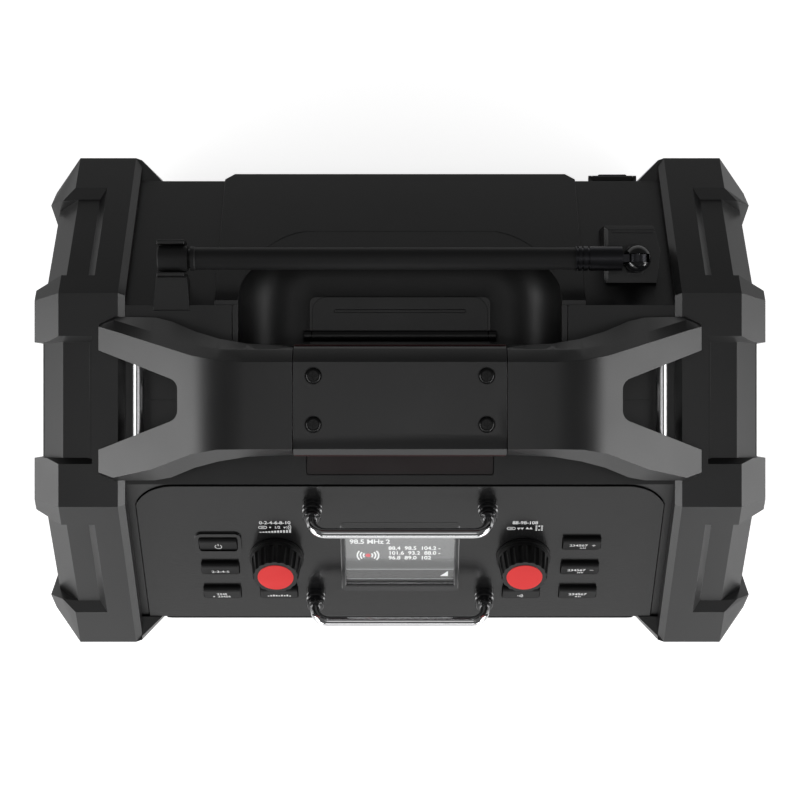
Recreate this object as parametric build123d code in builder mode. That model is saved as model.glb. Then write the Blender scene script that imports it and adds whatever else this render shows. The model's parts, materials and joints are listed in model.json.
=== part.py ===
from build123d import *
from math import cos, radians, sin, tan
import os

os.makedirs("parts", exist_ok=True)

# Jobsite radio: an eight-sided housing between two rubber end bumpers, with a raised carrying
# handle, a sloping control panel, a folding antenna and a battery bay in the rear face.
# Origin: middle of the base. +X is the user's right, +Y the rear, +Z up. Millimetres.

# ---- Overall form
overall_width = 390.0  # over the two bumpers
overall_depth = 273.8  # over the bumpers, front to rear
bumper_top = 235.0  # height of the bumpers' level top
slope_run = 80.3  # level length of the bumpers' front and rear slopes
slope_angle = 43.3  # front and rear slopes, from the horizontal
bumper_flat_half = overall_depth / 2 - slope_run  # half the length of the level top
fit_gap = 0.3  # between parts that are fitted but not pressed together
running_gap = 0.05  # radial, between a shaft and its bearing

# ---- Body housings
wall = 3.5
body_half_width = overall_width / 2 - 30.0  # the bumpers stand 30 mm past the housing's ends
body_top = bumper_top - 4.2
body_bottom = 6.0
body_front = overall_depth / 2 - 14.4  # front face, ahead of the origin
body_rear = overall_depth / 2 - 13.3  # rear face, behind the origin
body_front_edge = bumper_flat_half - 11.8  # where the level top meets the front slope
body_rear_edge = bumper_flat_half - 6.1  # where the level top meets the rear slope
body_foot_chamfer = 24.0
body_split = 0.0  # parting plane of the two housings

# ---- Bumpers
bumper_width = 49.1
bumper_inner = overall_width / 2 - bumper_width  # inner rim, across from the middle
bumper_inner_chamfer = 3.4
bumper_inner_drop = 3.0
bumper_outer_chamfer = 14.2
bumper_outer_drop = 9.0
bumper_foot_chamfer = 30.0
bumper_step = 4.5  # depth of the recesses between the corner blocks
bumper_step_ramp = 3.9  # run of the slanted recess ends
bumper_rail = bumper_inner + 17.1  # the inner rail stays full height up to here
bumper_rim = 38.0  # width of the ring seen from the side
bumper_block_top = bumper_flat_half - 22.0  # half the length of the recess in the level top
bumper_block_near = 19.9  # slope recess: start, along the slope
bumper_block_far = 86.1  # slope recess: end, along the slope
bumper_cheek_inner = bumper_inner - 11.5  # the ring's wide inner bevel on the front and rear faces
bumper_foot_relief = 3.0
bumper_pad_length = 44.9  # each level pad that the radio stands on
bumper_foot_relief_half = overall_depth / 2 - bumper_foot_chamfer - bumper_pad_length
side_panel_thickness = 9.0
side_panel_rim = 12.0
side_rib_length = 110.0
side_rib_width = 10.0
side_rib_pitch = 34.0

# ---- Control panel, measured down the front slope from its top edge
panel_margin = 0.7  # from the housing's edge to the panel
panel_half_width = bumper_inner - 4.5
panel_length = 104.6
panel_corner_x = panel_half_width - 20.4  # the rounded top corners start here
panel_corner_drop = 13.9
panel_thickness = 2.5
panel_sunk = 1.5  # depth of the seat in the housing
panel_gap = 0.6
panel_ledge = 6.0
board_depth = 10.4  # from the slope's surface to the button board
board_thickness = 1.6
board_half_width = panel_half_width - 16.4
pillar_radius = 3.0
pillar_x = board_half_width - 7.0
pillar_down = panel_length - 10.6
pillar_up = 11.0

# ---- Buttons
button_width = 20.5
button_height = 10.5
button_corner = 2.0
button_proud = 3.5
button_travel = 1.0
button_flange = 1.0  # how far the flange reaches past the cap
button_flange_thickness = 1.2
button_clearance = 0.35
button_row_down = 43.8  # first row
button_pitch = 20.0
button_column = 99.1
button_inner_column = 67.5
plunger_radius = 2.0
switch_size = 6.0
switch_height = 3.5
power_frame_width = 25.3
power_frame_height = 16.0
power_frame_proud = 1.2

# ---- Knobs
knob_x = 67.7
knob_down = 55.0
knob_height = 17.0
knob_flange_radius = 14.85
knob_flange_thickness = 1.8
knob_base_radius = 14.0
knob_top_radius = 12.15
knob_flutes = 18
knob_flute_radius = 1.5
knob_cap_radius = 9.75
knob_cap_depth = 1.2
knob_lift = 0.4
shaft_radius = 3.0
shaft_reach = 12.0  # into the knob, above the panel
bushing_radius = 4.5
bushing_height = 5.0
bushing_nut_radius = 6.9
bushing_nut_height = 2.0
encoder_size = 13.0

# ---- Display
screen_width = 59.6
screen_height = 44.7
screen_down = 54.95  # middle of the screen
bezel_width = 65.0
bezel_height = 54.3
bezel_proud = 1.4
lens_margin = 1.2
lens_thickness = 2.0
module_margin = 5.0
module_thickness = 4.5

# ---- Guard bars
bar_radius = 3.0
bar_half_span = bezel_width / 2 + 14.5
bar_down_upper = 14.7
bar_down_lower = 85.8
bar_standoff = 21.0
bar_bend = 10.0
bar_tail = 9.0
collar_radius = 5.25
collar_height = 4.3
bar_nut_radius = 5.8
bar_nut_height = 4.0

# ---- Handle
handle_top = bumper_top + 50.0
handle_end = bumper_inner + 12.6
handle_knee = handle_end - 65.5  # where the level top and the falling arm would meet
handle_flat_half = handle_knee - 15.0
handle_end_height = 7.6  # top of the arm's end above the bumper
handle_depth = 23.0  # thickness of the grip section
centre_half = 54.5
notch_inner = handle_end - 44.5
notch_inner_half = 9.5
notch_outer_half = 26.0
notch_round = 6.0
plate_thickness = 8.0
plate_gap = 0.4
core_half_width = 15.0
core_thickness = 8.0
core_half_length = handle_flat_half + 4.0
handle_screw_x = 43.8
handle_screw_y = 12.3
screw_head_radius = 4.0
screw_head_height = 2.6
screw_head_proud = 0.9
screw_shank_radius = 2.0
screw_slot_width = 1.2
tie_bar_x = notch_inner + 23.0
tie_bar_z = bumper_top + 11.0
tie_bar_radius = 3.0
tie_bar_half = 29.0

# ---- Rear hood and its finger pocket
hood_half_width = bumper_inner - 47.1
hood_proud = 3.5
hood_rear = body_rear + 3.9
hood_chamfer = 3.0
pocket_half_width = hood_half_width - 12.8
pocket_front = body_rear_edge - 22.5
pocket_rear = body_rear_edge + 42.4
pocket_floor = body_top - 34.8
pocket_corner = 40.0
pocket_wall = 3.0
flap_half_width = 48.0
flap_rear = pocket_front + 28.3
flap_thickness = 2.4
flap_lift = 0.3
flap_corner = 8.0
flap_pivot_y = pocket_front + 7.0
flap_pivot_rise = 3.4
flap_barrel_radius = 3.0
flap_pin_radius = 1.5
ear_width = 4.0
port_half_width = 40.0
port_front = pocket_front + 13.0
port_rear = port_front + 12.5
port_plate_thickness = 2.0

# ---- Battery bay
cell_radius = 16.7
cell_length = 60.5
cell_pitch = 34.0
cell_rows = 3
bay_bottom = 42.0
bay_wall = 2.0
door_thickness = 3.4
door_margin = 5.0
door_pivot_y = body_rear + 4.0
door_barrel_radius = 3.2
door_pin_radius = 1.6

# ---- Antenna
antenna_y = body_rear_edge + 24.5
antenna_z = body_top + 1.7
antenna_pivot_x = bumper_inner - 19.9
antenna_tip_x = 17.4 - bumper_inner
antenna_rod_radius = 5.9
antenna_cap_radius = 6.9
antenna_cap_length = 16.0
antenna_ferrule_radius = 6.5
antenna_ferrule_start = antenna_pivot_x - 33.0
antenna_ferrule_end = antenna_pivot_x - 8.4
antenna_tongue = 4.0
antenna_pin_radius = 1.5
ball_radius = 7.2
ball_slot = 4.6
antenna_base_top = antenna_z - 11.5
antenna_base_left = 16.5  # the block's reach from the pivot, left, right, front and rear
antenna_base_right = 13.5
antenna_base_front = 12.2
antenna_base_rear = 18.5
antenna_lip_width = 22.0
antenna_lip_depth = 1.5
antenna_nut_radius = 8.2
antenna_nut_height = 4.0
clip_x = antenna_tip_x + 7.2  # middle of the clip
clip_half_width = 7.3
clip_arm_rear_half = 8.3
clip_arm_front_half = 9.8
clip_wall = 2.4
clip_floor = 3.0
clip_arm_front = body_rear_edge - 3.0

# ---- Speakers and grille
speaker_opening = 45.0
speaker_flange = 52.0
speaker_flange_thickness = 3.5
speaker_depth = 30.0
magnet_radius = 28.0
magnet_thickness = 16.0
grille_half_width = bumper_cheek_inner - 1.4
grille_bottom = 34.0
grille_top_margin = 5.6  # from the grille to the front face's upper edge
grille_thickness = 1.5
grille_hole = 3.2
grille_pitch = 4.3  # half the spacing of the six-sided holes

# ---- Power inlet
inlet_x = body_half_width - 43.6
inlet_z = 130.0
inlet_radius = 5.5
cover_half_width = 11.5
cover_height = 26.0
cover_thickness = 5.2
cover_side_bevel = 3.9
cover_pivot_z = inlet_z + 16.0
cover_barrel_radius = 2.2
cover_pivot_y = body_rear + 2.6
cover_pin_radius = 1.2
cover_ear_width = 1.8

# ---- Main board
main_board_half_width = 85.0
main_board_front = body_split + 8.0
main_board_lift = 10.0  # height of its posts above the housing's floor
post_radius = 3.5

# ---- Working values that follow from the sizes above
slope_sin = sin(radians(slope_angle))
slope_cos = cos(radians(slope_angle))
slope_tan = tan(radians(slope_angle))
bumper_half_depth = overall_depth / 2
bumper_outer = overall_width / 2
body_front_shoulder = body_top - (body_front - body_front_edge) * slope_tan
body_rear_shoulder = body_top - (body_rear - body_rear_edge) * slope_tan
bumper_shoulder = bumper_top - (bumper_half_depth - bumper_flat_half) * slope_tan
front_slope = Plane(origin=(0, -body_front_edge, body_top), x_dir=(1, 0, 0),
                    z_dir=(0, -slope_sin, slope_cos))
rear_slope = Plane(origin=(0, body_rear_edge, body_top), x_dir=(1, 0, 0),
                   z_dir=(0, slope_sin, slope_cos))
panel_axis = Axis(front_slope.origin, front_slope.z_dir)
rear_axis = Axis(rear_slope.origin, rear_slope.z_dir)
panel_proud = panel_thickness - panel_sunk
grille_top = body_front_shoulder - grille_top_margin
speaker_x = grille_half_width - speaker_flange - 3.0
speaker_z = (grille_bottom + grille_top) / 2 - 3.0

body_outline = [
    (-body_front_edge, body_top),
    (body_rear_edge, body_top),
    (body_rear, body_rear_shoulder),
    (body_rear, body_bottom + body_foot_chamfer),
    (body_rear - body_foot_chamfer, body_bottom),
    (-body_front + body_foot_chamfer, body_bottom),
    (-body_front, body_bottom + body_foot_chamfer),
    (-body_front, body_front_shoulder),
]
bumper_outline = [
    (-bumper_flat_half, bumper_top),
    (bumper_flat_half, bumper_top),
    (bumper_half_depth, bumper_shoulder),
    (bumper_half_depth, bumper_foot_chamfer),
    (bumper_half_depth - bumper_foot_chamfer, 0),
    (-bumper_half_depth + bumper_foot_chamfer, 0),
    (-bumper_half_depth, bumper_foot_chamfer),
    (-bumper_half_depth, bumper_shoulder),
]


def write_step(piece, name):
    """Label a finished piece and write its STEP file."""
    piece.part.label = name
    export_step(piece.part, f"parts/{name}.step")


def prism(outline, x_from, x_to, inset=0.0):
    """Solid with a (y, z) outline, moved in by inset all round, between two x planes."""
    with BuildPart() as solid:
        with BuildSketch(Plane.YZ.offset(x_from)):
            with BuildLine():
                Polyline(*outline, close=True)
            make_face()
            if inset:
                offset(amount=-inset, kind=Kind.INTERSECTION)
        extrude(amount=x_to - x_from)
    return solid.part


def tapered_prism(outline, x_from, inset_from, x_to, inset_to):
    """Solid whose (y, z) outline shrinks evenly from one x plane to another."""
    with BuildPart() as solid:
        for x, inset in ((x_from, inset_from), (x_to, inset_to)):
            with BuildSketch(Plane.YZ.offset(x)):
                with BuildLine():
                    Polyline(*outline, close=True)
                make_face()
                if inset:
                    offset(amount=-inset, kind=Kind.INTERSECTION)
        loft(ruled=True)
    return solid.part


def panel_spot(x, down, height):
    """Plane parallel to the control panel, at a place measured down the slope and out of it."""
    origin = front_slope.from_local_coords((x, -panel_margin - down, height))
    return Plane(origin=origin, x_dir=(1, 0, 0), z_dir=front_slope.z_dir)


def on_bumper_slope(along, depth, side):
    """(y, z) of a point along a bumper's slope from its top edge, at a depth below its surface."""
    y = bumper_flat_half + along * slope_cos - depth * slope_sin
    z = bumper_top - along * slope_sin - depth * slope_cos
    return side * y, z


# ============================================================ end bumpers and side panels
# Each bumper is a rubber ring that laps over the housing's end. Its recesses lie between thick
# blocks at the ring's corners, and its rail stays full height all round.
def bumper_skin(inset, outer):
    """Ring blank with bevelled inner and outer edges, its surface moved in by inset."""
    outer_edge = outer - bumper_outer_chamfer + inset * 0.6
    with BuildPart() as skin:
        add(prism(bumper_outline, bumper_inner + bumper_inner_chamfer, outer_edge, inset))
        add(tapered_prism(bumper_outline, outer_edge, inset, outer, inset + bumper_outer_drop))
        add(tapered_prism(bumper_outline, bumper_inner, inset + bumper_inner_drop,
                          bumper_inner + bumper_inner_chamfer, inset))
    return skin.part


recess_reach = bumper_rim - 2.0
top_recess = [
    (-bumper_block_top, bumper_top + 1), (bumper_block_top, bumper_top + 1),
    (bumper_block_top - bumper_step_ramp, bumper_top - bumper_step),
    (bumper_block_top - bumper_step_ramp, bumper_top - recess_reach),
    (bumper_step_ramp - bumper_block_top, bumper_top - recess_reach),
    (bumper_step_ramp - bumper_block_top, bumper_top - bumper_step),
]
recess_outlines = [top_recess]
for side in (-1, 1):
    recess_outlines.append([
        on_bumper_slope(bumper_block_near, -1, side),
        on_bumper_slope(bumper_block_far, -1, side),
        on_bumper_slope(bumper_block_far - 2 * bumper_step_ramp, bumper_step, side),
        on_bumper_slope(bumper_block_far - 2 * bumper_step_ramp, recess_reach, side),
        on_bumper_slope(bumper_block_near, recess_reach, side),
    ])
    face_top = bumper_shoulder - bumper_block_near
    face_bottom = bumper_foot_chamfer + bumper_block_near
    recess_outlines.append([
        (side * (bumper_half_depth + 1), face_top),
        (side * (bumper_half_depth - bumper_step), face_top - bumper_step_ramp),
        (side * (bumper_half_depth - recess_reach), face_top - bumper_step_ramp),
        (side * (bumper_half_depth - recess_reach), face_bottom + bumper_step_ramp),
        (side * (bumper_half_depth - bumper_step), face_bottom + bumper_step_ramp),
        (side * (bumper_half_depth + 1), face_bottom),
    ])
bumper_blank = bumper_skin(0.0, bumper_outer)
bumper_inset = bumper_skin(bumper_step, bumper_outer - bumper_step)
body_pocket = prism(body_outline, 0, body_half_width, -fit_gap)

with BuildPart() as bumper_recesses:
    for outline in recess_outlines:
        add(prism(outline, bumper_rail, bumper_outer + 1))
    add(bumper_inset, mode=Mode.SUBTRACT)

with BuildPart() as bumper_right:
    add(bumper_blank)
    add(bumper_recesses.part, mode=Mode.SUBTRACT)
    for side, face in ((-1, body_front), (1, body_rear)):
        with BuildSketch(Plane.XY.offset(bumper_foot_chamfer)):
            with BuildLine():
                Polyline((bumper_cheek_inner, side * face),
                         (bumper_inner + bumper_inner_chamfer, side * bumper_half_depth),
                         (bumper_inner + bumper_outer_chamfer, side * bumper_half_depth),
                         (bumper_inner + bumper_outer_chamfer, side * face), close=True)
            make_face()
        extrude(amount=bumper_shoulder - bumper_foot_chamfer)
    add(body_pocket, mode=Mode.SUBTRACT)
    add(prism(bumper_outline, body_half_width - 1, bumper_outer + 1, bumper_rim), mode=Mode.SUBTRACT)
    with BuildSketch(Plane.YZ.offset(bumper_inner - 1)):
        with Locations((0, 0)):
            Rectangle(2 * bumper_foot_relief_half, 2 * bumper_foot_relief)
    extrude(amount=bumper_outer - bumper_inner + 2, mode=Mode.SUBTRACT)

with BuildPart() as bumper_left:
    add(bumper_right.part)
    mirror(about=Plane.YZ, mode=Mode.REPLACE)

# The side panels close the rings: a plate with a raised rim and three ribs.
with BuildPart() as side_panel_right:
    add(prism(bumper_outline, body_half_width, body_half_width + side_panel_thickness,
              bumper_rim + fit_gap))
    add(prism(bumper_outline, body_half_width + side_panel_thickness / 2,
              body_half_width + side_panel_thickness + 1, bumper_rim + side_panel_rim),
        mode=Mode.SUBTRACT)
    with BuildSketch(Plane.YZ.offset(body_half_width + side_panel_thickness / 2)):
        with Locations((0, bumper_top / 2)):
            with GridLocations(0, side_rib_pitch, 1, 3):
                RectangleRounded(side_rib_length, side_rib_width, 0.49 * side_rib_width)
    extrude(amount=side_panel_thickness / 2)

with BuildPart() as side_panel_left:
    add(side_panel_right.part)
    mirror(about=Plane.YZ, mode=Mode.REPLACE)

write_step(bumper_right, "bumper_right")
write_step(bumper_left, "bumper_left")
write_step(side_panel_right, "side_panel_right")
write_step(side_panel_left, "side_panel_left")

# ============================================================ housings
# Two hollow halves that meet under the handle. The front one carries the control panel's seat,
# the tinted window and the speaker openings; the rear one is open for the hood's finger pocket,
# the battery bay and the power inlet.
body_solid = prism(body_outline, -body_half_width, body_half_width)
body_cavity = prism(body_outline, wall - body_half_width, body_half_width - wall, wall)
cell_bay_half_width = cell_length + 3
bay_inner_height = cell_rows * cell_pitch + 1
bay_top = bay_bottom + bay_inner_height
bay_front = body_rear - 2 * cell_radius - bay_wall - 1
main_board_rear = bay_front - 9.2


def panel_outline(grow, height):
    """Outline of the control panel with its curved top corners, grown outwards all round."""
    side = panel_half_width
    corner_run = side - panel_corner_x
    corner_radius = (corner_run ** 2 + panel_corner_drop ** 2) / (2 * panel_corner_drop)
    with BuildSketch(front_slope.offset(height)) as outline:
        with BuildLine():
            start = Line((side, -panel_margin - panel_length), (side, -panel_margin - panel_corner_drop))
            RadiusArc(start @ 1, (panel_corner_x, -panel_margin), -corner_radius)
            Line((panel_corner_x, -panel_margin), (-panel_corner_x, -panel_margin))
            RadiusArc((-panel_corner_x, -panel_margin), (-side, -panel_margin - panel_corner_drop),
                      -corner_radius)
            Line((-side, -panel_margin - panel_corner_drop), (-side, -panel_margin - panel_length))
            Line((-side, -panel_margin - panel_length), (side, -panel_margin - panel_length))
        make_face()
        if grow:
            offset(amount=grow, kind=Kind.INTERSECTION)
    return outline.sketch


def pocket_plan(grow, height):
    """Plan of the finger pocket at a height: straight front, two large rear corners."""
    half, front, rear = pocket_half_width + grow, pocket_front - grow, pocket_rear + grow
    corner = pocket_corner + grow
    with BuildSketch(Plane.XY.offset(height)) as plan:
        with BuildLine():
            Line((-half, rear - corner), (-half, front))
            Line((-half, front), (half, front))
            Line((half, front), (half, rear - corner))
            RadiusArc((half, rear - corner), (half - corner, rear), -corner)
            Line((half - corner, rear), (corner - half, rear))
            RadiusArc((corner - half, rear), (-half, rear - corner), -corner)
        make_face()
    return plan.sketch


window_half_width = 49.7
window_front = 5.1 - body_front_edge
window_rear = window_front + 25.7
window_sunk = 1.2
window_thickness = 1.2
window_middle = (window_front + window_rear) / 2
window_length = window_rear - window_front
opening_down = (panel_ledge + panel_length - panel_ledge) / 2

with BuildPart() as front_housing:
    add(body_solid)
    add(body_cavity, mode=Mode.SUBTRACT)
    split(bisect_by=Plane.XZ.offset(-body_split), keep=Keep.TOP)
    extrude(panel_outline(panel_gap, 0), amount=-panel_sunk, dir=front_slope.z_dir, mode=Mode.SUBTRACT)
    with BuildSketch(panel_spot(0, opening_down, 1)):
        RectangleRounded(2 * (panel_half_width - panel_ledge), panel_length - 2 * panel_ledge, 6)
    extrude(amount=-2 * wall, mode=Mode.SUBTRACT)
    with BuildSketch(Plane.XY.offset(body_top)):
        with Locations((0, window_middle)):
            RectangleRounded(2 * (window_half_width + fit_gap), window_length + 2 * fit_gap, 1.5)
    extrude(amount=-window_sunk - window_thickness, mode=Mode.SUBTRACT)
    with BuildSketch(Plane.XY.offset(body_top)):
        with Locations((0, window_middle)):
            Rectangle(2 * window_half_width - 6, window_length - 6)
    extrude(amount=-2 * wall, mode=Mode.SUBTRACT)
    with BuildSketch(Plane.XZ.offset(body_front)):
        with Locations((-speaker_x, speaker_z), (speaker_x, speaker_z)):
            Circle(speaker_opening)
    extrude(amount=-2 * wall, mode=Mode.SUBTRACT)

with BuildPart() as status_window:
    with BuildSketch(Plane.XY.offset(body_top - window_sunk - window_thickness)):
        with Locations((0, window_middle)):
            RectangleRounded(2 * window_half_width, window_length, 1.5)
    extrude(amount=window_thickness)

# Rear housing screws stand in counterbored bosses that run inwards from the rear face.
door_half = cell_bay_half_width + door_margin
door_bottom = bay_bottom - door_margin
door_top = bay_top + door_margin
rear_screw_x = (door_half + inlet_x - cover_half_width) / 2 - 1.0
rear_screw_z = (door_bottom + 15.0, door_top - 10.0)
rear_screw_spots = [(x, z) for x in (-rear_screw_x, rear_screw_x) for z in rear_screw_z]
rear_screw_head = 3.6
rear_screw_head_height = 2.6
rear_screw_sunk = 6.0
rear_screw_shank = 1.9
rear_screw_length = 22.0
boss_radius = 5.0
boss_length = 28.0
face_plane = Plane(origin=(0, body_rear, 0), x_dir=(1, 0, 0), z_dir=(0, -1, 0))
door_pivot_z = door_bottom - 1.5
door_face = body_rear + fit_gap
door_ear_start = door_half - 12.0
post_spots = [(x, y) for x in (7 - main_board_half_width, main_board_half_width - 7)
              for y in (main_board_front + 6, main_board_rear - 6)]

with BuildPart() as rear_housing:
    add(body_solid)
    add(body_cavity, mode=Mode.SUBTRACT)
    split(bisect_by=Plane.XZ.offset(-body_split), keep=Keep.BOTTOM)
    with BuildSketch(face_plane):
        with Locations(*rear_screw_spots):
            Circle(boss_radius)
    extrude(amount=boss_length)
    with BuildSketch(face_plane):
        with Locations(*rear_screw_spots):
            Circle(rear_screw_head + fit_gap)
    extrude(amount=rear_screw_sunk, mode=Mode.SUBTRACT)
    with BuildSketch(face_plane):
        with Locations(*rear_screw_spots):
            Circle(rear_screw_shank)
    extrude(amount=rear_screw_length + 1, mode=Mode.SUBTRACT)
    extrude(pocket_plan(pocket_wall + fit_gap, pocket_floor - pocket_wall - fit_gap),
            amount=body_top, dir=(0, 0, 1), mode=Mode.SUBTRACT)
    with BuildSketch(face_plane):
        with Locations((0, bay_bottom + bay_inner_height / 2)):
            Rectangle(2 * cell_bay_half_width, bay_inner_height)
    extrude(amount=2 * wall, mode=Mode.SUBTRACT)
    with BuildSketch(face_plane):
        with Locations((inlet_x, inlet_z)):
            Circle(inlet_radius + fit_gap)
    extrude(amount=2 * wall, mode=Mode.SUBTRACT)
    with BuildSketch(Plane.XY.offset(body_bottom + wall)):
        with Locations(*post_spots):
            Circle(post_radius)
    extrude(amount=main_board_lift)
    for side in (-1, 1):
        with BuildSketch(Plane.YZ.offset(side * (door_ear_start + ear_width / 2))):
            with Locations(((body_rear + door_pivot_y) / 2, door_pivot_z)):
                Rectangle(door_pivot_y - body_rear, 2 * door_barrel_radius)
            with Locations((door_pivot_y, door_pivot_z)):
                Circle(door_barrel_radius)
                Circle(door_pin_radius, mode=Mode.SUBTRACT)
        extrude(amount=ear_width / 2, both=True)
        cover_ear_x = inlet_x + side * (cover_half_width + fit_gap + cover_ear_width / 2)
        with BuildSketch(Plane.YZ.offset(cover_ear_x)):
            with Locations(((body_rear + cover_pivot_y) / 2, cover_pivot_z)):
                Rectangle(cover_pivot_y - body_rear, 2 * cover_barrel_radius)
            with Locations((cover_pivot_y, cover_pivot_z)):
                Circle(cover_barrel_radius)
                Circle(cover_pin_radius + running_gap, mode=Mode.SUBTRACT)
        extrude(amount=cover_ear_width / 2, both=True)

with BuildPart() as housing_screws:
    with BuildSketch(face_plane.offset(rear_screw_sunk)):
        with Locations(*rear_screw_spots):
            Circle(rear_screw_head)
    extrude(amount=-rear_screw_head_height)
    with BuildSketch(face_plane.offset(rear_screw_sunk - rear_screw_head_height)):
        with Locations(*rear_screw_spots):
            RegularPolygon(1.6, 6)
    extrude(amount=rear_screw_head_height / 2, mode=Mode.SUBTRACT)
    with BuildSketch(face_plane.offset(rear_screw_sunk)):
        with Locations(*rear_screw_spots):
            Circle(rear_screw_shank)
    extrude(amount=rear_screw_length - rear_screw_sunk)

write_step(front_housing, "front_housing")
write_step(status_window, "status_window")
write_step(rear_housing, "rear_housing")
write_step(housing_screws, "housing_screws")

# ============================================================ control panel
# A moulded plate set into the front slope, cut out for the screen, the buttons, the knobs'
# bushings and the guard bars, with a raised frame round the power button.
button_spots = {"power_button": (-button_column, button_row_down),
                "source_button": (-button_column, button_row_down + button_pitch),
                "menu_button": (-button_column, button_row_down + 2 * button_pitch),
                "preset_up_button": (button_column, button_row_down),
                "preset_down_button": (button_column, button_row_down + button_pitch),
                "preset_button": (button_column, button_row_down + 2 * button_pitch),
                "equaliser_button": (-button_inner_column, button_row_down + 2 * button_pitch),
                "wireless_button": (button_inner_column, button_row_down + 2 * button_pitch)}
bar_spots = [(x, down) for x in (-bar_half_span, bar_half_span)
             for down in (bar_down_upper, bar_down_lower)]
pillar_spots = [(x, down) for x in (-pillar_x, 0, pillar_x) for down in (pillar_up, pillar_down)]
panel_face = panel_spot(0, 0, panel_proud)
panel_back = panel_spot(0, 0, -panel_sunk)


def spots_on_panel(spots):
    """Locations on the panel's own planes for places given as (x, distance down)."""
    return [(x, -down) for x, down in spots]


with BuildPart() as control_panel:
    extrude(panel_outline(0, -panel_sunk), amount=panel_thickness, dir=front_slope.z_dir)
    with BuildSketch(panel_back):
        with Locations(*spots_on_panel(pillar_spots)):
            Circle(pillar_radius)
    extrude(amount=-(board_depth - panel_sunk))
    with BuildSketch(panel_face):
        with Locations(*spots_on_panel([button_spots["power_button"]])):
            RectangleRounded(power_frame_width, power_frame_height, 2 * button_corner)
    extrude(amount=power_frame_proud)
    cap_gap = 2 * button_clearance
    with BuildSketch(panel_spot(0, 0, 2 * button_proud)):
        with Locations(*spots_on_panel(button_spots.values())):
            RectangleRounded(button_width + cap_gap, button_height + cap_gap, button_corner)
        with Locations((0, -screen_down)):
            RectangleRounded(screen_width + 2 * (lens_margin + fit_gap),
                             screen_height + 2 * (lens_margin + fit_gap), 1)
        with Locations((-knob_x, -knob_down), (knob_x, -knob_down)):
            Circle(bushing_radius + fit_gap)
        with Locations(*spots_on_panel(bar_spots)):
            Circle(bar_radius + fit_gap)
    extrude(amount=-2 * button_proud - panel_sunk, mode=Mode.SUBTRACT)

# The screen: a bevelled bezel on the panel, a clear lens in the cut-out and the module behind it.
with BuildPart() as display_bezel:
    with BuildSketch(panel_spot(0, screen_down, panel_proud)):
        RectangleRounded(bezel_width, bezel_height, 2.5)
        Rectangle(screen_width, screen_height, mode=Mode.SUBTRACT)
    extrude(amount=bezel_proud)
    bezel_rims = display_bezel.faces().sort_by(panel_axis)[-1].edges()
    chamfer(bezel_rims, length=0.6)

with BuildPart() as display_lens:
    with BuildSketch(panel_spot(0, screen_down, -panel_sunk)):
        RectangleRounded(screen_width + 2 * lens_margin, screen_height + 2 * lens_margin, 1)
    extrude(amount=lens_thickness)

with BuildPart() as display_module:
    with BuildSketch(panel_spot(0, screen_down, -panel_sunk)):
        Rectangle(screen_width + 2 * module_margin, screen_height + 2 * module_margin)
    extrude(amount=-module_thickness)

# The button board hangs on the panel's pillars and has a small switch under each plunger.
with BuildPart() as button_board:
    with BuildSketch(panel_spot(0, 0, -board_depth - board_thickness)):
        with Locations((0, -(pillar_up + pillar_down) / 2)):
            Rectangle(2 * board_half_width, pillar_down - pillar_up + 10)
    extrude(amount=board_thickness)
    with BuildSketch(panel_spot(0, 0, -board_depth)):
        with Locations(*spots_on_panel(button_spots.values())):
            Rectangle(switch_size, switch_size)
    extrude(amount=switch_height)

write_step(control_panel, "control_panel")
write_step(display_bezel, "display_bezel")
write_step(display_lens, "display_lens")
write_step(display_module, "display_module")
write_step(button_board, "button_board")

# ============================================================ push buttons
# Each cap stands proud of the panel, is held by a flange behind it, and has a plunger that
# stops just above its switch when the cap is fully down.
flange_top = -panel_sunk - 0.1
plunger_end = -board_depth + switch_height + button_travel + 0.15
for name, (x, down) in button_spots.items():
    with BuildPart() as button:
        with BuildSketch(panel_spot(x, down, flange_top)):
            RectangleRounded(button_width, button_height, button_corner)
        extrude(amount=panel_proud + button_proud - flange_top)
        cap_face = button.faces().sort_by(panel_axis)[-1]
        fillet(cap_face.edges(), radius=1.2)
        with BuildSketch(panel_spot(x, down, flange_top - button_flange_thickness)):
            RectangleRounded(button_width + 2 * button_flange, button_height + 2 * button_flange,
                             button_corner)
        extrude(amount=button_flange_thickness)
        with BuildSketch(panel_spot(x, down, plunger_end)):
            Circle(plunger_radius)
        extrude(amount=flange_top - button_flange_thickness - plunger_end)
    write_step(button, name)

# ============================================================ rotary controls
# An encoder behind the panel carries each knob on its shaft. The knob is a fluted cone with a
# wide flange and a raised top ring round a soft coloured cap.
encoder_bottom = -board_depth
knob_base = panel_proud + knob_lift
knob_roof = panel_proud + bushing_height + bushing_nut_height
shaft_bottom = encoder_bottom + 2.0
shaft_top = panel_proud + shaft_reach

with BuildPart() as encoders:
    for x in (-knob_x, knob_x):
        with BuildSketch(panel_spot(x, knob_down, encoder_bottom)):
            Rectangle(encoder_size, encoder_size)
        extrude(amount=-panel_sunk - encoder_bottom)
        with BuildSketch(panel_spot(x, knob_down, -panel_sunk)):
            Circle(bushing_radius)
        extrude(amount=panel_sunk + panel_proud + bushing_height)
        with BuildSketch(panel_spot(x, knob_down, panel_proud)):
            RegularPolygon(bushing_nut_radius, 6)
        extrude(amount=bushing_nut_height)
        with BuildSketch(panel_spot(x, knob_down, shaft_bottom - running_gap)):
            Circle(shaft_radius + running_gap)
        extrude(amount=knob_height, mode=Mode.SUBTRACT)
write_step(encoders, "encoders")

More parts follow.
